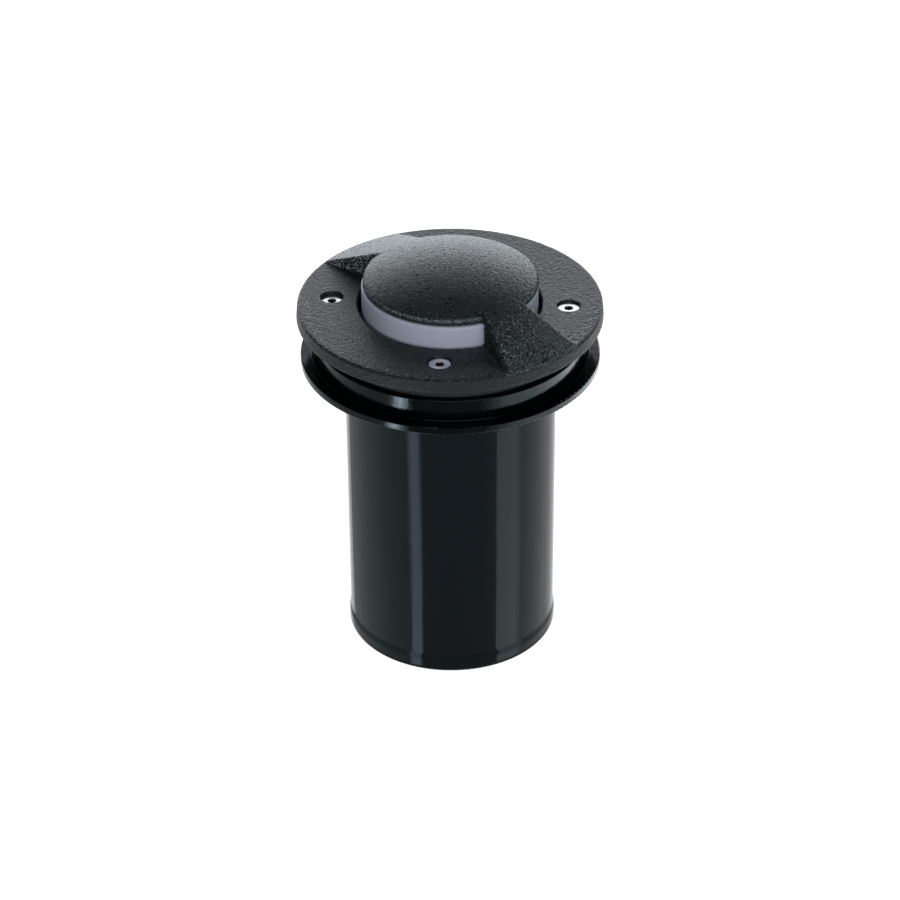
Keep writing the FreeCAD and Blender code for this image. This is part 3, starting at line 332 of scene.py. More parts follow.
cut_solid(casting, round_solid("lens_hole", [(CUP_BORE, BELOW), (CUP_BORE, WINDOW_TOP)]))
cut_solid(casting, round_solid("lens_seat", [(FLANGE_SEAT, BELOW), (FLANGE_SEAT, FLANGE_TOP)]))
under_dome = [(UNDER_RADIUS, WINDOW_TOP - 1), (UNDER_RADIUS, WINDOW_TOP)]
under_dome += [dome_ring(radius, DOME_RADIUS - HOOD_SHELL) for radius in UNDER_RINGS]
cut_solid(casting, round_solid("under_dome", under_dome))
print("space for the lens", len(casting.data.polygons), "faces")

# %% [markdown]
# ## The casting: windows
# A window runs from one wing's wall to the other's, between the plate's face and the hood's
# lip. Its space is a ring round the lip that two upright cuts through the middle leave a
# sector of. The lip stands out a little further over the right-hand window, where less of the
# lens shows.

# %% Windows
PAST_RIM = 66.0
OVER_HOOD = 180.0
WINDOWS = ((152.5, 295.5, 36.1), (330.0, 476.0, 36.9))


def window_space(start, end, lip_radius):
    """What a window takes away: a sector round the lip, between the walls of two wings."""
    space = round_solid("window", [(PAST_RIM, FACE), (PAST_RIM, OVER_HOOD)])
    cut_solid(space, round_solid("lip", [(lip_radius, FACE - 1), (lip_radius, OVER_HOOD + 1)]))
    work_on(space)
    bpy.ops.object.mode_set(mode="EDIT")
    for angle, keep in ((start, 1), (end, -1)):
        across = math.radians(angle + 90 * keep)
        bpy.ops.mesh.select_all(action="SELECT")
        normal = (math.cos(across), math.sin(across), 0)
        bpy.ops.mesh.bisect(
            plane_co=(0, 0, 0), plane_no=normal, use_fill=True, clear_inner=True,
        )
    bpy.ops.mesh.select_all(action="SELECT")
    bpy.ops.mesh.normals_make_consistent(inside=False)
    bpy.ops.object.mode_set(mode="OBJECT")
    return space


for start, end, lip_radius in WINDOWS:
    cut_solid(casting, window_space(start, end, lip_radius))
print("casting", len(casting.data.polygons), "faces")

# %% [markdown]
# ## Where a point lies on the hood
# The next steps treat the hood's lip and two of the wings' walls in their own way, so a helper
# says how far a point is from them. Those two walls were broken by the sand. The third wall is
# hidden from the front, and the fourth ends in a fine straight edge.

# %% Places on the hood
BROKEN_WALLS = (152.5, 295.5)
LIP_EDGE = 169.3
FAR = 99.0
WALLS_START = 34


def window_of(angle):
    """The window that an angle round the cover falls in, or nothing for a wing."""
    for window in WINDOWS:
        if (angle - window[0]) % 360 < window[1] - window[0]:
            return window
    return None


def angle_of(x, y):
    """The angle of a point round the cover, in degrees."""
    return math.degrees(math.atan2(y, x)) % 360


def lip_and_wall(point):
    """A point's radius and height, and its way to the lip and a broken wall, in millimetres."""
    x, y, z = (value / MM for value in point)
    radius = math.hypot(x, y)
    angle = angle_of(x, y)
    window = window_of(angle)
    to_lip = math.hypot(radius - window[2], z - LIP_EDGE) if window else FAR
    turns = [abs((angle - wall + 180) % 360 - 180) for wall in BROKEN_WALLS]
    to_wall = math.radians(min(turns)) * radius if radius > WALLS_START else FAR
    return radius, z, to_lip, to_wall

# %% [markdown]
# ## Sand grain and soft edges
# A voxel remesh turns the casting into one even skin, as if it were clay. Smoothing that skin
# a little rounds every edge. Along the lip and the broken walls each face is then split in
# four, because their crumbs are smaller than the skin's cells.

# %% Skin
SKIN_CELL = 0.64 * MM
FINE_BAND = 2.0
LIP_BAND = (35.0, 37.4)
LIP_BOTTOM = WINDOW_TOP - 0.3
WALL_FOOT = FACE + 0.4


def near_hood_edge(face):
    """Whether a face lies close to the lip or to a broken wall."""
    radius, z, to_lip, to_wall = lip_and_wall(face.center)
    on_lip = to_lip < FAR and LIP_BAND[0] < radius < LIP_BAND[1] and z > LIP_BOTTOM
    return z > WALL_FOOT and (min(to_wall, to_lip) < FINE_BAND or on_lip)


def select_faces(piece, wanted):
    """Goes into edit mode with the wanted faces selected."""
    mesh = piece.data
    for parts in (mesh.edges, mesh.vertices):
        for part in parts:
            part.select = False
    for face in mesh.polygons:
        face.select = wanted(face)
        if face.select:
            for index in face.vertices:
                mesh.vertices[index].select = True
    work_on(piece)
    bpy.ops.object.mode_set(mode="EDIT")
    bpy.ops.mesh.select_mode(type="FACE")


finish_with(casting, "REMESH", mode="VOXEL", voxel_size=SKIN_CELL, use_smooth_shade=True)
finish_with(casting, "SMOOTH", factor=0.5, iterations=1)
select_faces(casting, near_hood_edge)
bpy.ops.mesh.subdivide(number_cuts=1)
bpy.ops.object.mode_set(mode="OBJECT")
print("skin", len(casting.data.vertices), "points")

# %% [markdown]
# ## Lumps of the sand mould
# A sand mould leaves low lumps all over a casting. A bump in the finish would shade them, but
# it wouldn't break the outline, so the skin itself is displaced by a cloudy texture. The middle
# of the texture is set to its top, so it only ever pushes inwards and the casting never
# outgrows the drawing.

# %% Sand lumps
LUMP_SIZE = 1.5 * MM
LUMP_DEPTH = 0.14 * MM

sand = bpy.data.textures.new("sand", "CLOUDS")
sand.noise_scale = LUMP_SIZE
sand.noise_depth = 2
finish_with(
    casting, "DISPLACE", texture=sand, texture_coords="LOCAL", mid_level=1.0,
    strength=LUMP_DEPTH,
)
print("lumps of", LUMP_SIZE / MM, "mm, up to", LUMP_DEPTH / MM, "mm deep")

# %% [markdown]
# ## Ragged edges of the hood
# The edges that the sand broke are worse: along the lip and down the two walls the crumbs
# stand out and catch the light. A vertex group names those points, and a second, rougher
# displacement works only there. The group is full up to 0.6 mm from an edge and fades out at
# 1.6 mm.

# %% Ragged edges
RAGGED_WIDTH = 1.6
RAGGED_FOOT = FACE + 0.6
CRUMB_SIZE = 0.8 * MM
CRUMB_HEIGHT = 1.2 * MM

ragged = casting.vertex_groups.new(name="ragged")
for vertex in casting.data.vertices:
    _, z, to_lip, to_wall = lip_and_wall(vertex.co)
    weight = RAGGED_WIDTH - min(to_lip, to_wall)
    if weight > 0 and z > RAGGED_FOOT:
        ragged.add([vertex.index], min(1.0, weight), "REPLACE")
broken = bpy.data.textures.new("broken", "CLOUDS")
broken.noise_scale = CRUMB_SIZE
broken.noise_depth = 3
finish_with(
    casting, "DISPLACE", texture=broken, texture_coords="LOCAL",
    mid_level=0.75, strength=CRUMB_HEIGHT, vertex_group="ragged",
)
print("ragged edges", RAGGED_WIDTH, "mm wide")

# %% [markdown]
# ## A lighter underside
# The underside is hidden until the cover comes off, yet the remesh gave it faces as small as
# those of the top. They could be merged by hand, but a decimation of what lies low or faces
# down thins them out in one go.

# %% Lighter underside
UNDERSIDE = 151.8 * MM
FACING_DOWN = -0.6
KEPT_FACES = 0.35

select_faces(casting, lambda face: face.center.z < UNDERSIDE or face.normal.z < FACING_DOWN)
bpy.ops.mesh.decimate(ratio=KEPT_FACES)
bpy.ops.object.mode_set(mode="OBJECT")
print("lighter underside", len(casting.data.vertices), "points left")

# %% [markdown]
# ## Screw holes
# The screws sit in crisp round recesses, so these are cut last, through the finished skin. Each
# cutter is one round solid: shank hole, countersink and recess. The recesses of a casting
# differ a little in depth, and so do these.

# %% Screw holes
SCREW_CIRCLE = 49.3
RECESSES = ((0, 1.3), (90, 2.0), (180, 1.9), (270, 0.8))
UNDER_PLATE = 146.0
SHANK_HOLE = 2.75
HEAD_EDGE = 4.54
HEAD_RIM = 0.31
COUNTERSINK = 1.79
RECESS_FLOOR = 4.75
RECESS_MOUTH = 5.0


def screw_space(angle, depth):
    """The space for one cover screw, at its angle round the cover."""
    seat = FACE - depth - HEAD_RIM
    space = round_solid("screw_space", [
        (SHANK_HOLE, UNDER_PLATE), (SHANK_HOLE, seat - COUNTERSINK), (HEAD_EDGE, seat),
        (RECESS_FLOOR, seat), (RECESS_MOUTH, FACE), (RECESS_MOUTH, FACE + 1),
    ])
    work_on(space)
    across = math.radians(angle)
    bpy.ops.object.mode_set(mode="EDIT")
    bpy.ops.mesh.select_all(action="SELECT")
    centre = (SCREW_CIRCLE * MM * math.cos(across), SCREW_CIRCLE * MM * math.sin(across), 0)
    bpy.ops.transform.translate(value=centre)
    bpy.ops.object.mode_set(mode="OBJECT")
    return space


for angle, depth in RECESSES:
    cut_solid(casting, screw_space(angle, depth))
print("screw holes", len(RECESSES))

# %% [markdown]
# ## The casting takes the drawing's place
# The finished casting stands in for the CAD cover: it hides that piece and rides on the same
# body. Faces that meet at a small angle are shaded as one surface, and the recesses keep their
# sharp edges.

# %% Casting in place
SHARP_FROM = math.radians(50)

work_on(casting)
bpy.ops.object.shade_smooth_by_angle(angle=SHARP_FROM)
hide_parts("cover")
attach(casting, "fixture")
print("cast_cover", sum(len(face.vertices) - 2 for face in casting.data.polygons), "triangles")

# %% [markdown]
# ## Where the sand shows
# The coat is thin on the broken walls and the lip, so pale grains of sand show through there.
# The wings carry some too, and more of them towards the rim. The rest of the cover has few.
# Each point of the casting gets a number for that, which the finish reads: 1 is bare sand, 0 is
# coated, and below 0 the coat grows smoother, duller and darker, down to -1 without grains or
# pits. That is painted shade: in the recesses, the bore, the lip's lower band, the plate's side
# and towards the back of its top. It could be painted by hand, but rules follow the shape when
# it changes. The first rule that fits a point counts.

# %% Bare sand
SCREW_AXES = (
    (SCREW_CIRCLE, 0), (0, SCREW_CIRCLE), (-SCREW_CIRCLE, 0), (0, -SCREW_CIRCLE),
)
HOLE_SIDE = 5.6
BORE_SIDE = 38.6
RIM_SIDE = 63.2
FRONT_EDGE = 58.5
LIP_SIDE = (34.8, 37.4)
LIP_CRUMBS = 168.2
LIP_CREST = 169.2
BACK_WALL = 1.3
FRONT_WALL = 1.9
FEW_GRAINS = 0.12
SMOOTH_IN_PAINTED_SHADE = -1.0


def ramp(value, start, length):
    """Goes from 0 to 1 over a length that begins at start."""
    return min(1, max(0, (value - start) / length))


def bareness(point):
    """How bare the sand is at a point of the casting."""
    radius, z, to_lip, to_wall = lip_and_wall(point)
    x, y = point.x / MM, point.y / MM
    in_window = to_lip < FAR
    # the recesses of the screws and the bore under the hood are smooth and dark: painted shade
    if z < FACE - 0.25 and min(math.hypot(x - a, y - b) for a, b in SCREW_AXES) < HOLE_SIDE:
        return SMOOTH_IN_PAINTED_SHADE
    if z < FACE - 0.2 and radius < BORE_SIDE:
        return SMOOTH_IN_PAINTED_SHADE
    # the plate's side gets smoother and darker towards the front, its top towards the back:
    # painted shade
    if radius > RIM_SIDE:
        return -0.3 - 0.32 * ramp(-y, 0, 60)
    if in_window and radius > FRONT_EDGE and y < 0:
        return 0.34
    if in_window and radius > BORE_SIDE and to_wall >= BACK_WALL:
        return FEW_GRAINS - 0.32 * ramp(y, -40, 60)
    # the lip has crumbs along its crest, partly a painted highlight, and below them a smooth
    # dark band, which is painted shade
    if in_window and LIP_SIDE[0] < radius < LIP_SIDE[1] and z < LIP_CREST:
        return 0.8 if z > LIP_CRUMBS else -0.5
    # the broken walls are barest, the front one less so as painted shade, and the wings get
    # barer from the dome to the rim
    if z > FACE + 0.2 and to_wall < (BACK_WALL if y > 0 else FRONT_WALL):
        return 1.0 if y > 0 else 0.7
    if z > FACE + 0.2 and not in_window:
        return FEW_GRAINS + 0.5 * ramp(radius, 30, 14)
    return FEW_GRAINS


def carry(name, amounts):
    """Stores one number for each point of the casting."""
    attribute = casting.data.attributes.new(name=name, type="FLOAT", domain="POINT")
    attribute.data.foreach_set("value", amounts)


bare_amounts = [bareness(vertex.co) for vertex in casting.data.vertices]
carry("bare_sand", bare_amounts)
print("bare sand on", sum(amount == 1.0 for amount in bare_amounts), "points")

# %% [markdown]
# ## Rubbed edges, painted glints and painted shade
# The coat is rubbed off the lip's edge, the end of the front wing and the fine straight edge
# of that wing's right wall, and pale grains are painted there: partly bare sand, partly a
# painted highlight where those edges catch the light. That wing's left wall gets painted shade
# instead, so it stays dark. A second number says so, above 0 for the rubbed edges with their
# painted highlight, and below 0 for the painted shade.

# %% Rubbed edges, painted glints and painted shade
FINE_EDGE = 329.7
FINE_WIDTH = 0.7
FINE_WEAR_AND_GLINT = 0.35
LIP_WEAR_AND_GLINT_WIDTH = 1.1
WING_RIM = (62.4, 63.4)
RIM_WEAR_AND_GLINT = 0.45
TOP_WEAR_AND_GLINT = 0.18
WALL_PAINTED_SHADE_WIDTH = 1.8
WALL_PAINTED_SHADE = -0.8


def glint_and_shade_at(point):
    """How rubbed the casting is at a point, with its painted highlight; painted shade is below
    0.
    """
    radius, z, to_lip, to_wall = lip_and_wall(point)
    x, y = point.x / MM, point.y / MM
    on_wing, above_face, at_front = to_lip == FAR, z > FACE + 0.2, y < 0
    # rubbed edges get pale grains: partly bare sand, partly a painted highlight
    rub_and_glint = max(0.0, 1 - to_lip / LIP_WEAR_AND_GLINT_WIDTH)
    if radius > 36 and z > FACE + 0.5:
        to_fine_edge = math.radians(abs(angle_of(x, y) - FINE_EDGE)) * radius
        rub_and_glint = max(rub_and_glint, FINE_WEAR_AND_GLINT * (1 - to_fine_edge / FINE_WIDTH))
    if on_wing and at_front and WING_RIM[0] < radius < WING_RIM[1] and z > FACE - 0.7:
        rub_and_glint = RIM_WEAR_AND_GLINT
    # the front wing's left wall gets painted shade and stays dark
    if above_face and at_front and to_wall < WALL_PAINTED_SHADE_WIDTH and rub_and_glint == 0:
        return WALL_PAINTED_SHADE
    if above_face and at_front and on_wing:
        return max(rub_and_glint, TOP_WEAR_AND_GLINT * ramp(radius, 44, 10))
    return rub_and_glint


glint_and_shade_amounts = [glint_and_shade_at(vertex.co) for vertex in casting.data.vertices]
carry("wear_glint_and_shade", glint_and_shade_amounts)
print("worn points", sum(amount > 0 for amount in glint_and_shade_amounts))
print("painted_shade points", sum(amount < 0 for amount in glint_and_shade_amounts))

# %% [markdown]
# ## Black sand coat: grain
# The casting is powder-coated black with a fine sandy grain: dark pits between pale crumbs, all
# well under a millimetre. A photographed texture would need an unwrapped cover, while noise
# needs nothing. Three clouds of noise make the crumbs, the pits and the grains, and coarse and
# fine bumps give them their light and shade.

# %% Coat grain
CRUMB_GRAIN = 0.55 * MM
PIT_GRAIN = 1.0 * MM
SPECK_GRAIN = 0.62 * MM
COARSE_GRAIN = 1.6 * MM

cast = new_finish("black_sand_coat", (0.012, 0.016, 0.018), 0.5, specular=0.4)
bare_sand = amount_of(cast, "bare_sand")
wear_glint_and_shade = amount_of(cast, "wear_glint_and_shade")
crumbs = noise(cast, CRUMB_GRAIN, detail=2.0, roughness=0.65)
pitting = noise(cast, PIT_GRAIN, detail=1.5)
grains = noise(cast, SPECK_GRAIN, detail=1.0, stretch=(1, 1, 1.01))
add_bump(cast, noise(cast, COARSE_GRAIN, detail=2.0), 0.45 * MM)
add_bump(cast, crumbs, 0.2 * MM)
print("grain of", cast.name, "from", CRUMB_GRAIN / MM, "to", COARSE_GRAIN / MM, "mm")

# %% [markdown]
# ## Black sand coat: pits and specks
# Noise that passes a limit makes separate specks instead of a cloud. Where the sand is bare a
# little is added to the noise first, so more of it passes. Pits are the lows of another cloud,
# and they fade out where the coat is smooth. Specks stand proud and pits are sunk.

# %% Pits and specks
PIT_LIMITS = (0.4, 0.33)
PITTED_LIMITS = (-0.4, 0.1)
SPECK_LIMITS = (0.65, 0.7)
SPARKLE_LIMITS = (0.45, 0.6)
MORE_WHERE_BARE = 0.14

pits = remap(cast, pitting, *PIT_LIMITS)
pits = combine(cast, "MULTIPLY", pits, remap(cast, bare_sand, *PITTED_LIMITS))
more = combine(cast, "MULTIPLY", bare_sand, MORE_WHERE_BARE)
specks = remap(cast, combine(cast, "ADD", grains, more), *SPECK_LIMITS)
# pale grains on rubbed edges: partly bare sand, partly a painted highlight
wear_and_painted_glint = combine(cast, "MULTIPLY", wear_glint_and_shade, remap(cast, crumbs, *SPARKLE_LIMITS))
add_bump(cast, combine(cast, "SUBTRACT", specks, pits), 0.12 * MM)
print("specks above", SPECK_LIMITS[0], "and pits below", PIT_LIMITS[0])

# %% [markdown]
# ## Black sand coat: colour
# The colour goes from the black of the coat to the pale grey of sand. How far it goes is one
# number, and the steps below build it: specks that are stronger where the sand is bare, uneven
# from patch to patch, nearly gone in the painted shade of the front wing's left wall, plus pale
# grains on rubbed edges, partly a painted highlight, and a trace of the crumbs. The pits take
# it back to black.

# %% Coat colour
COAT_BLACK = (0.002, 0.0045, 0.006)
SAND_GREY = (0.43, 0.475, 0.49)
COATED_SPECK = 0.2
BARE_SPECK = 0.7
PATCH_SIZE = 5 * MM
PATCH_LIMITS = (0.35, 0.62)
PATCH_SHARES = (0.45, 1.0)
WALL_PAINTED_SHADE_SHARE = 0.05
TRACE = 0.05

strength = combine(cast, "MULTIPLY", bare_sand, BARE_SPECK)
strength = combine(cast, "ADD", strength, COATED_SPECK)
patches = remap(cast, noise(cast, PATCH_SIZE, detail=1.0), *PATCH_LIMITS, *PATCH_SHARES)
pale = combine(cast, "MULTIPLY", combine(cast, "MULTIPLY", specks, strength), patches)
# the specks nearly vanish in the painted shade of the front wing's left wall
outside_wall_shade = remap(cast, wear_glint_and_shade, -1.0, 0.0, WALL_PAINTED_SHADE_SHARE, 1.0)
pale = combine(cast, "MULTIPLY", pale, outside_wall_shade)
pale = combine(cast, "MAXIMUM", pale, wear_and_painted_glint)
pale = combine(cast, "MAXIMUM", pale, combine(cast, "MULTIPLY", crumbs, TRACE))
paleness = remap(cast, combine(cast, "SUBTRACT", pale, pits), 0.0, 1.0)
blend_colours(cast, paleness, COAT_BLACK, SAND_GREY)
print("coat from", COAT_BLACK, "to", SAND_GREY)

# %% [markdown]
# ## Black sand coat: sheen
# Powder coat has a soft sheen, loose sand has none, and a pit is too narrow to catch the light.
# So the sheen is turned down where the sand is bare, in the pits, and where the scale of bare
# sand falls below 0, most of all in the recesses and the bore: there it is painted shade.

# %% Coat sheen
COAT_ROUGHNESS = (0.34, 0.58)
BARE_LIMITS = (0.62, 0.68)
COAT_SHEEN = 0.4
SAND_SHEEN = 0.04
RECESS_SHARE = 0.05
PIT_SHARE = 0.1

vary_roughness(cast, crumbs, *COAT_ROUGHNESS)
sheen = remap(cast, bare_sand, *BARE_LIMITS, COAT_SHEEN, SAND_SHEEN)
# below 0 the sheen fades, most in the painted shade of the recesses and the bore
outside = remap(cast, bare_sand, SMOOTH_IN_PAINTED_SHADE, 0.0, RECESS_SHARE, 1.0)
sheen = combine(cast, "MULTIPLY", sheen, outside)
sheen = combine(cast, "MULTIPLY", sheen, remap(cast, pits, 0.0, 1.0, 1.0, PIT_SHARE))
cast.node_tree.links.new(sheen, surface_of(cast).inputs["Specular IOR Level"])
casting.data.materials.clear()
casting.data.materials.append(cast)
print(cast.name, "on", casting.name)

# %% [markdown]
# ## Glossy moulded plastic
# The sleeve, its flange and the collar are moulded in black plastic with a slight green-blue
# cast, polished by the mould and lightly scuffed by handling. The scuffs are noise that is
# drawn out along the tube, in the roughness alone. The flange and the collar have a fine
# orange-peel bump on top.

# %% Plastic finish
PLASTIC_SHINE = 0.112
PLASTIC_TINT = (0.75, 0.95, 1.0)
SCUFF_WIDTH = 2.0 * MM
ALONG_TUBE = (1, 1, 0.12)
WAVE_WIDTH = 9.0 * MM
PEEL_WIDTH = 1.6 * MM
PEEL_DEPTH = 0.05 * MM


def new_plastic(name, colour, smoothest, roughest, waviness):
    """Black plastic with scuffs that run up and down, and a waviness left by the mould."""
    plastic = new_finish(name, colour, smoothest, specular=PLASTIC_SHINE)
    surface_of(plastic).inputs["Specular Tint"].default_value = (*PLASTIC_TINT, 1)
    scuffs = noise(plastic, SCUFF_WIDTH, detail=4.0, stretch=ALONG_TUBE)
    vary_roughness(plastic, scuffs, smoothest, roughest)
    add_bump(plastic, noise(plastic, WAVE_WIDTH, detail=1.0), waviness)
    return plastic


tube_plastic = new_plastic(
    "glossy_black_plastic", (0.0003, 0.001, 0.003), 0.05, 0.12, 0.04 * MM,
)
give(tube_plastic, "sleeve_tube", "can")
moulded = new_plastic("moulded_black_plastic", (0.0006, 0.0012, 0.0014), 0.1, 0.18, 0.06 * MM)
add_bump(moulded, noise(moulded, PEEL_WIDTH, detail=3.0), PEEL_DEPTH)
give(moulded, "sleeve_flange", "collar")

# %% [markdown]
# ## Frosted lens
# The lens is glass frosted on the outside. Frosting scatters the light that passes through,
# which is slow to render and noisy. From outside it shows as an even grey, so an opaque grey
# with a faint cloud and a fine tooth does the same.

# %% Lens finish
CLOUD_WIDTH = 14 * MM
CLOUD_GREYS = ((0.46, 0.475, 0.565), (0.5, 0.515, 0.605))
TOOTH_WIDTH = 0.4 * MM
TOOTH_DEPTH = 0.01 * MM

frosted = new_finish("frosted_glass", (0.5, 0.52, 0.62), 0.42, specular=0.3)
blend_colours(frosted, noise(frosted, CLOUD_WIDTH, detail=2.0), *CLOUD_GREYS)
add_bump(frosted, noise(frosted, TOOTH_WIDTH, detail=2.0), TOOTH_DEPTH)
give(frosted, "lens")

# %% [markdown]
# ## Metals
# The hidden hardware is stainless and plated steel, brass and cast aluminium. A metal takes its
# colour from its reflections, so each one is mostly a roughness and a faint grain.

# %% Metal finishes
def new_metal(name, colour, roughness, grain_size):
    """A metal with fine tool marks."""
    metal = new_finish(name, colour, roughness, metallic=1.0)
    marks = noise(metal, grain_size, detail=3.0)
    vary_roughness(metal, marks, roughness * 0.8, roughness * 1.25)
    add_bump(metal, marks, 0.001 * MM)
    return metal


stainless = new_metal("stainless_steel", (0.8, 0.81, 0.82), 0.3, 0.5 * MM)
plated = new_metal("zinc_plated_steel", (0.62, 0.63, 0.63), 0.3, 0.9 * MM)
spring = new_metal("spring_steel", (0.45, 0.45, 0.46), 0.3, 0.3 * MM)
brass = new_metal("bare_brass", (0.72, 0.5, 0.22), 0.28, 0.4 * MM)
aluminium = new_metal("cast_aluminium", (0.68, 0.68, 0.69), 0.42, 0.6 * MM)
give(stainless, "pivot_screws")
give(plated, "lamp_bracket", "bracket_screws", "lamp_pins")
give(spring, "lamp_clip")
give(brass, "thread_inserts", "terminal_screws")
give(aluminium, "gimbal_ring")

# %% [markdown]
# ## Turned screw heads
# The cover screws are turned stainless steel, bright on the flat. The socket is painted black,
# partly for dirt and partly as painted shade. The socket could be masked by hand. Here the
# finish measures how far a point is from the nearest screw's axis: with x and y made positive,
# four axes fold into two.

# %% Turned finish
SOCKET_EDGE = (1.7 * MM, 1.85 * MM)
SOCKET_DIRT_AND_SHADE = (0.012, 0.012, 0.012)
TURNED_STEEL = (0.94, 0.95, 0.96)


def distance_from(material, axis):
    """How far a point is from an upright axis, once its x and y are made positive."""
    folded = material.node_tree.nodes.new("ShaderNodeVectorMath")
    folded.operation = "ABSOLUTE"
    material.node_tree.links.new(place(material, (1, 1, 0)), folded.inputs[0])
    away = material.node_tree.nodes.new("ShaderNodeVectorMath")
    away.operation = "DISTANCE"
    material.node_tree.links.new(folded.outputs["Vector"], away.inputs[0])
    away.inputs[1].default_value = axis
    return away.outputs["Value"]


turned = new_finish("turned_stainless_steel", (0.9, 0.91, 0.92), 0.45, metallic=1.0)
from_right_screw = distance_from(turned, (SCREW_CIRCLE * MM, 0, 0))
from_back_screw = distance_from(turned, (0, SCREW_CIRCLE * MM, 0))
from_axis = combine(turned, "MINIMUM", from_right_screw, from_back_screw)
turned_marks = noise(turned, 0.4 * MM, detail=2.0)
unevenness = combine(turned, "MULTIPLY", turned_marks, 0.2 * MM)
from_axis = combine(turned, "ADD", from_axis, unevenness)
# the socket is painted black, partly dirt and partly painted shade
blend_colours(turned, remap(turned, from_axis, *SOCKET_EDGE), SOCKET_DIRT_AND_SHADE, TURNED_STEEL)
vary_roughness(turned, turned_marks, 0.28, 0.36)
give(turned, "cover_screws")

# %% [markdown]
# ## Rubber, nylon and ceramic inside
# These pieces are seen only when the light is taken apart, yet each still has the finish of
# its own material. All of them are dull and a little uneven, so one helper makes them all.

# %% Dull finishes
def new_dull(name, colour, roughness, grain_size, depth):
    """A dull moulded finish, a little uneven in colour and height."""
    dull = new_finish(name, colour, roughness)
    speckle = noise(dull, grain_size, detail=3.0)
    darker, lighter = [c * 0.85 for c in colour], [min(1, c * 1.12) for c in colour]
    blend_colours(dull, speckle, darker, lighter)
    vary_roughness(dull, speckle, roughness * 0.9, min(1, roughness * 1.1))
    add_bump(dull, speckle, depth)
    return dull


rubber = new_dull("black_rubber", (0.018, 0.018, 0.018), 0.7, 0.6 * MM, 0.03 * MM)
give(rubber, "seat_ring", "cover_gasket", "gland_washer", "gland_seal")
silicone = new_dull("red_silicone", (0.42, 0.06, 0.035), 0.55, 1.5 * MM, 0.01 * MM)
give(silicone, "lens_seal")
nylon = new_dull("black_nylon", (0.022, 0.022, 0.023), 0.45, 0.8 * MM, 0.02 * MM)
give(nylon, "gland_body", "gland_locknut", "gland_cap")
pale_nylon = new_dull("white_nylon", (0.72, 0.72, 0.68), 0.4, 1.2 * MM, 0.01 * MM)
give(pale_nylon, "pivot_washers", "terminal_block")
ceramic = new_dull("ceramic", (0.78, 0.76, 0.69), 0.3, 2.0 * MM, 0.02 * MM)
give(ceramic, "lamp_holder")
insulation = new_dull("lead_insulation", (0.68, 0.66, 0.6), 0.5, 1.0 * MM, 0.01 * MM)

# %% [markdown]
# ## Glass of the lamp
# The lamp's bowl is glass with a mirror coat inside, so it is made as a metal that isn't quite
# smooth. Its front and the small bulb are clear: a Principled shader with full transmission.

# %% Lamp glass
coated = new_finish("coated_reflector_glass", (0.8, 0.8, 0.82), 0.12, metallic=0.85)
add_bump(coated, noise(coated, 4.0 * MM), 0.08 * MM)
give(coated, "lamp_reflector")
clear = new_finish("clear_glass", (0.96, 0.98, 0.98), 0.03)
surface_of(clear).inputs["Transmission Weight"].default_value = 1.0
add_bump(clear, noise(clear, 6.0 * MM), 0.01 * MM)
give(clear, "lamp_front_glass", "lamp_capsule")

# %% [markdown]
# ## The lamp's two leads
# Each lead is a soft insulated wire from the lamp's holder, through the bracket's hole, into
# the terminal block. It could be a tube built ring by ring, but a wire is its path, so a smooth
# curve is laid along the corners of its route and thickened. The route starts under a pin,
# turns down and outwards, and ends level in the block.

# %% Lamp leads
LEAD_RADIUS = 1.0
LEAD_ROUNDNESS = 4
LEAD_TURN = 9.5
PIN_X = 2.65
POLE_X = 4.0
CORNER_Y = 7
LEVEL_Y = 15
leads_low, leads_high = ([value / MM for value in corner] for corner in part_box("lamp_leads"))
wire_height = leads_low[2] + LEAD_RADIUS
top, mouth = leads_high[2], leads_high[1]


def lead(side):
    """One lead, as a thick curve along the five corners of its route."""
    bpy.ops.object.select_all(action="DESELECT")
    bpy.ops.curve.primitive_nurbs_path_add()
    wire = bpy.context.object
    route = [(PIN_X, 0, top), (PIN_X, 0, top - LEAD_TURN), (POLE_X, CORNER_Y, wire_height)]
    route += [(POLE_X, LEVEL_Y, wire_height), (POLE_X, mouth, wire_height)]
    spline = wire.data.splines[0]
    for point, (x, y, z) in zip(spline.points, route):
        point.co = (side * x * MM, y * MM, z * MM, 1)
    spline.order_u = 3
    spline.use_endpoint_u = True
    wire.data.bevel_depth = LEAD_RADIUS * MM
    wire.data.bevel_resolution = LEAD_ROUNDNESS
    wire.data.use_fill_caps = True
    bpy.ops.object.convert(target="MESH")
    return wire


left_lead, leads = lead(-1), lead(1)
left_lead.select_set(True)
bpy.ops.object.join()
leads.name = "soft_leads"
print("leads", len(leads.data.polygons), "faces")

# %% [markdown]
# ## The leads in place
# The converted curves are cleaned up like any mesh. Then the leads stand in for the CAD leads,
# which are hidden. They ride on no body of their own.

# %% Leads in place
SAME_POINT = 0.001 * MM

bpy.ops.object.mode_set(mode="EDIT")
bpy.ops.mesh.select_all(action="SELECT")
bpy.ops.mesh.remove_doubles(threshold=SAME_POINT)
bpy.ops.mesh.normals_make_consistent(inside=False)
bpy.ops.object.mode_set(mode="OBJECT")
bpy.ops.object.shade_smooth_by_angle(angle=SHARP_FROM)
leads.data.materials.clear()
leads.data.materials.append(insulation)
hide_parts("lamp_leads")
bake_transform(leads)

# %% [markdown]
# ## The floor
# The photograph has a white ground with almost no shadow. A plain white floor under soft lights
# comes out grey, and a stronger light would burn out the object. So a little glow is added to
# the paper, only for what the camera, a reflection or a clear glass sees. It then reads as
# white, takes the shadow, and doesn't light the object from below.

# %% Floor
FLOOR_SIZE = 12.0
GLOW_SEEN = 0.85
GLOW_MIRRORED = 0.74

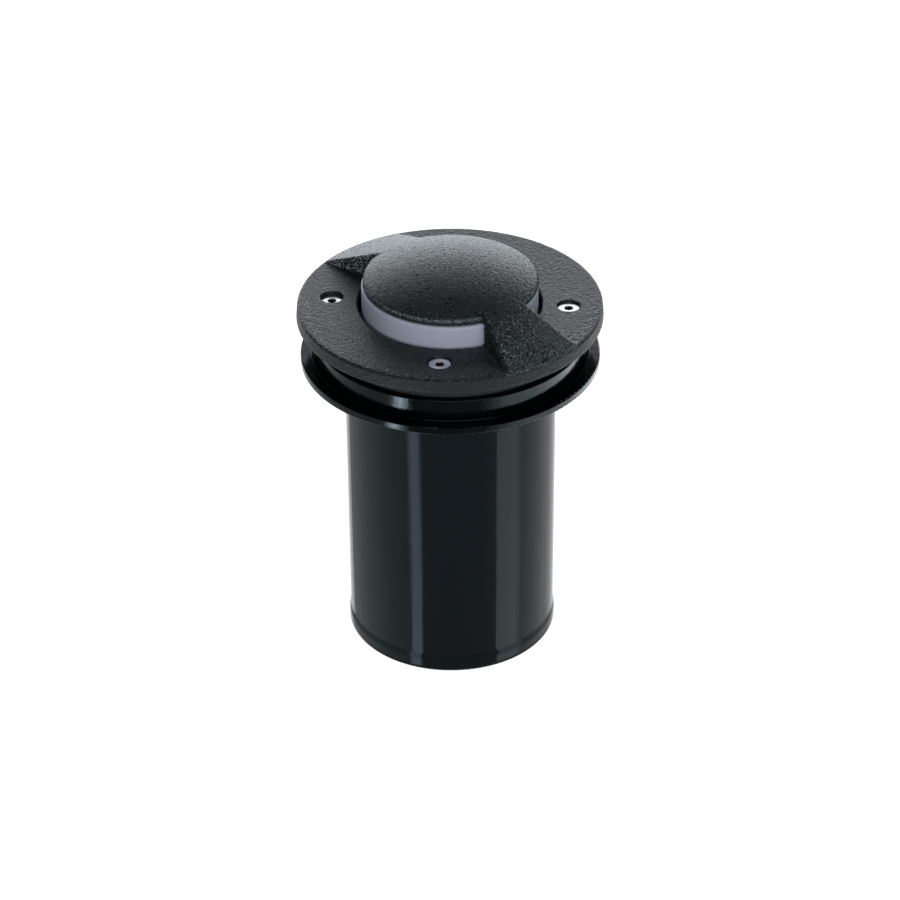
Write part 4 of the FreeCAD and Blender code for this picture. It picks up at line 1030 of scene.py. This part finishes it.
bpy.ops.object.select_all(action="DESELECT")
bpy.ops.mesh.primitive_plane_add(size=FLOOR_SIZE, location=(0, 0, 0))
floor = bpy.context.object
floor.name = "floor"
paper = new_finish("white_paper", (0.8, 0.8, 0.8), 0.9, specular=0.0)
path = paper.node_tree.nodes.new("ShaderNodeLightPath").outputs
seen = combine(paper, "MAXIMUM", path["Is Camera Ray"], path["Is Transmission Ray"])
seen = combine(paper, "MULTIPLY", seen, GLOW_SEEN)
in_mirrors = combine(paper, "MULTIPLY", path["Is Glossy Ray"], GLOW_MIRRORED)
paper_glow = combine(paper, "MAXIMUM", seen, in_mirrors)
paper.node_tree.links.new(paper_glow, surface_of(paper).inputs["Emission Strength"])
surface_of(paper).inputs["Emission Color"].default_value = (1, 1, 1, 1)
floor.data.materials.append(paper)
print("floor", FLOOR_SIZE, "m wide, glowing at", GLOW_SEEN, "and", GLOW_MIRRORED)

# %% [markdown]
# ## The lights
# The reflections tell where the lights are. The back of the dome shines, so there is a low and
# wide wall of light behind. The flat screw heads shine as well, and they mirror a place higher
# up, where a small box hangs. The dome's front is dark, so nothing bright is overhead. One
# soft light in front fills in what faces the camera, and a dim bluish world does the rest.

# %% Lights
LIGHT_DISTANCE = 1.6
LIGHT_COLOUR = (0.94, 1.0, 1.045)
LIGHT_AIM = Vector((0, 0, 0.1))
WORLD_COLOUR = (0.9, 0.95, 1.0)
WORLD_STRENGTH = 0.11


def softbox(name, azimuth, elevation, width, height, power):
    """A rectangular light that faces the object. Azimuth 0 is at the camera, 90 at its right."""
    light = bpy.data.lights.new(name, "AREA")
    light.shape = "RECTANGLE"
    light.size = width
    light.size_y = height
    light.energy = power
    light.color = LIGHT_COLOUR
    lamp = bpy.data.objects.new(name, light)
    bpy.context.scene.collection.objects.link(lamp)
    angle = math.radians(azimuth) - math.pi / 2
    rise = math.radians(elevation)
    flat = Vector((math.cos(angle), math.sin(angle), 0)) * math.cos(rise)
    from_aim = turn @ (flat + Vector((0, 0, math.sin(rise)))) * LIGHT_DISTANCE
    lamp.location = LIGHT_AIM + from_aim
    lamp.rotation_euler = (-from_aim).to_track_quat("-Z", "Y").to_euler()
    lamp.visible_camera = False
    print(name, [round(v, 2) for v in lamp.location])


softbox("back_wall", 180, 9, width=2.6, height=0.65, power=27)
softbox("high_box", 180, 36, width=0.5, height=0.25, power=1.3)
softbox("front_fill", 8, 24, width=1.5, height=0.9, power=14.6)

world = bpy.data.worlds.new("studio")
bpy.context.scene.world = world
world.use_nodes = True
background = world.node_tree.nodes["Background"]
background.inputs["Color"].default_value = (*WORLD_COLOUR, 1)
background.inputs["Strength"].default_value = WORLD_STRENGTH

# %% [markdown]
# ## Cards on the floor: one card
# An upright glossy tube, seen from above, mirrors the floor and not the walls. So its streaks
# aren't lights but bright cards that lie on the floor and fan out from the foot. A card is a
# grid that is bent into a fan. Every point of it carries its own glow, which makes streaks that
# swell and fade. Cards shine only in reflections: the camera and the floor don't see them.

# %% One card
CARD_STEP = 6.0
FOOT_REACH = 46.0
CARD_HEIGHT = 1.0


def glow_of(name, colour):
    """A plain glow whose strength each point carries."""
    glow = bpy.data.materials.new(name)
    glow.use_nodes = True
    nodes, links = glow.node_tree.nodes, glow.node_tree.links
    nodes.remove(nodes["Principled BSDF"])
    emission = nodes.new("ShaderNodeEmission")
    emission.inputs["Color"].default_value = (*colour, 1)
    links.new(amount_of(glow, "fade"), emission.inputs["Strength"])
    links.new(emission.outputs["Emission"], nodes["Material Output"].inputs["Surface"])
    return glow


def floor_card(name, azimuths, strengths, reach, colour):
    """A fan on the floor between two directions seen from the camera, glowing in reflections.

    Its reach is a row of (distance from the foot, share of the strength), nearest first.
    """
    steps = max(1, round(abs(azimuths[1] - azimuths[0]) / CARD_STEP))
    bpy.ops.object.select_all(action="DESELECT")
    bpy.ops.mesh.primitive_grid_add(x_subdivisions=steps, y_subdivisions=len(reach) - 1, size=1)
    card = bpy.context.object
    card.name = name
    glows = []
    for vertex in card.data.vertices:
        share = vertex.co.x + 0.5
        azimuth = azimuths[0] + (azimuths[1] - azimuths[0]) * share
        distance, dimmed = reach[round((vertex.co.y + 0.5) * (len(reach) - 1))]
        glows.append(dimmed * (strengths[0] + (strengths[1] - strengths[0]) * share))
        on_tube = math.radians(azimuth / 2)
        outwards = math.radians(azimuth)
        corner = Vector((math.sin(on_tube), -math.cos(on_tube), 0)) * FOOT_REACH
        corner += Vector((math.sin(outwards), -math.cos(outwards), 0)) * distance
        vertex.co = turn @ ((corner + Vector((0, 0, CARD_HEIGHT))) * MM)
    fade = card.data.attributes.new(name="fade", type="FLOAT", domain="POINT")
    fade.data.foreach_set("value", glows)
    card.data.materials.append(glow_of(name, colour))
    card.visible_camera = False
    card.visible_diffuse = False
    card.visible_shadow = False

# %% [markdown]
# ## Cards on the floor: the set
# The tube shows a thin streak on the left, a broad one on the right and a pale glow towards
# both sides. Its cards reach 205 mm from the foot. What the collar and the flange mirror lies
# farther out, so their cards begin where those end: bright to the right, a glint to the left
# and dark in front. Each row gives a card's directions, its strength at both, its reach and
# its tint.

# %% Cards
TUBE = ((0, 1.0), (190, 1.0), (205, 0.8))
COLLAR = ((206, 0.2), (218, 1.0), (262, 1.0), (310, 0.1))
COOL = (0.92, 0.93, 1.04)
PLAIN = (0.95, 1.0, 1.0)
GREEN = (0.92, 1.0, 0.99)
CARDS = (
    ("left_edge", (-150, -93), (0.5, 1.4), TUBE, GREEN),
    ("left_glow", (-93, -50), (1.4, 1.5), TUBE, GREEN),
    ("left_rise", (-50, -45), (1.5, 5.4), TUBE, COOL),
    ("left_streak", (-45, -37.5), (5.4, 5.8), TUBE, COOL),
    ("left_fall", (-37.5, -33), (5.8, 1.2), TUBE, COOL),
    ("right_streak", (51.5, 72), (3.9, 3.5), TUBE, PLAIN),
    ("right_shoulder", (72, 79), (3.5, 2.6), TUBE, PLAIN),
    ("right_fall", (79, 84), (2.6, 1.65), TUBE, PLAIN),
    ("right_glow", (84, 130), (1.65, 1.33), TUBE, PLAIN),
    ("collar_rise", (-50, -43), (0.5, 38.0), COLLAR, COOL),
    ("collar_fall", (-43, -34), (38.0, 0.5), COLLAR, COOL),
    ("collar_dark", (-34, 26), (0.3, 0.6), COLLAR, PLAIN),
    ("collar_dawn", (26, 46), (0.6, 5.0), COLLAR, PLAIN),
    ("collar_glow", (46, 112), (5.0, 5.6), COLLAR, PLAIN),
    ("collar_edge", (112, 150), (5.6, 2.0), COLLAR, PLAIN),
)
for card_row in CARDS:
    floor_card(*card_row)
print("cards", len(CARDS))
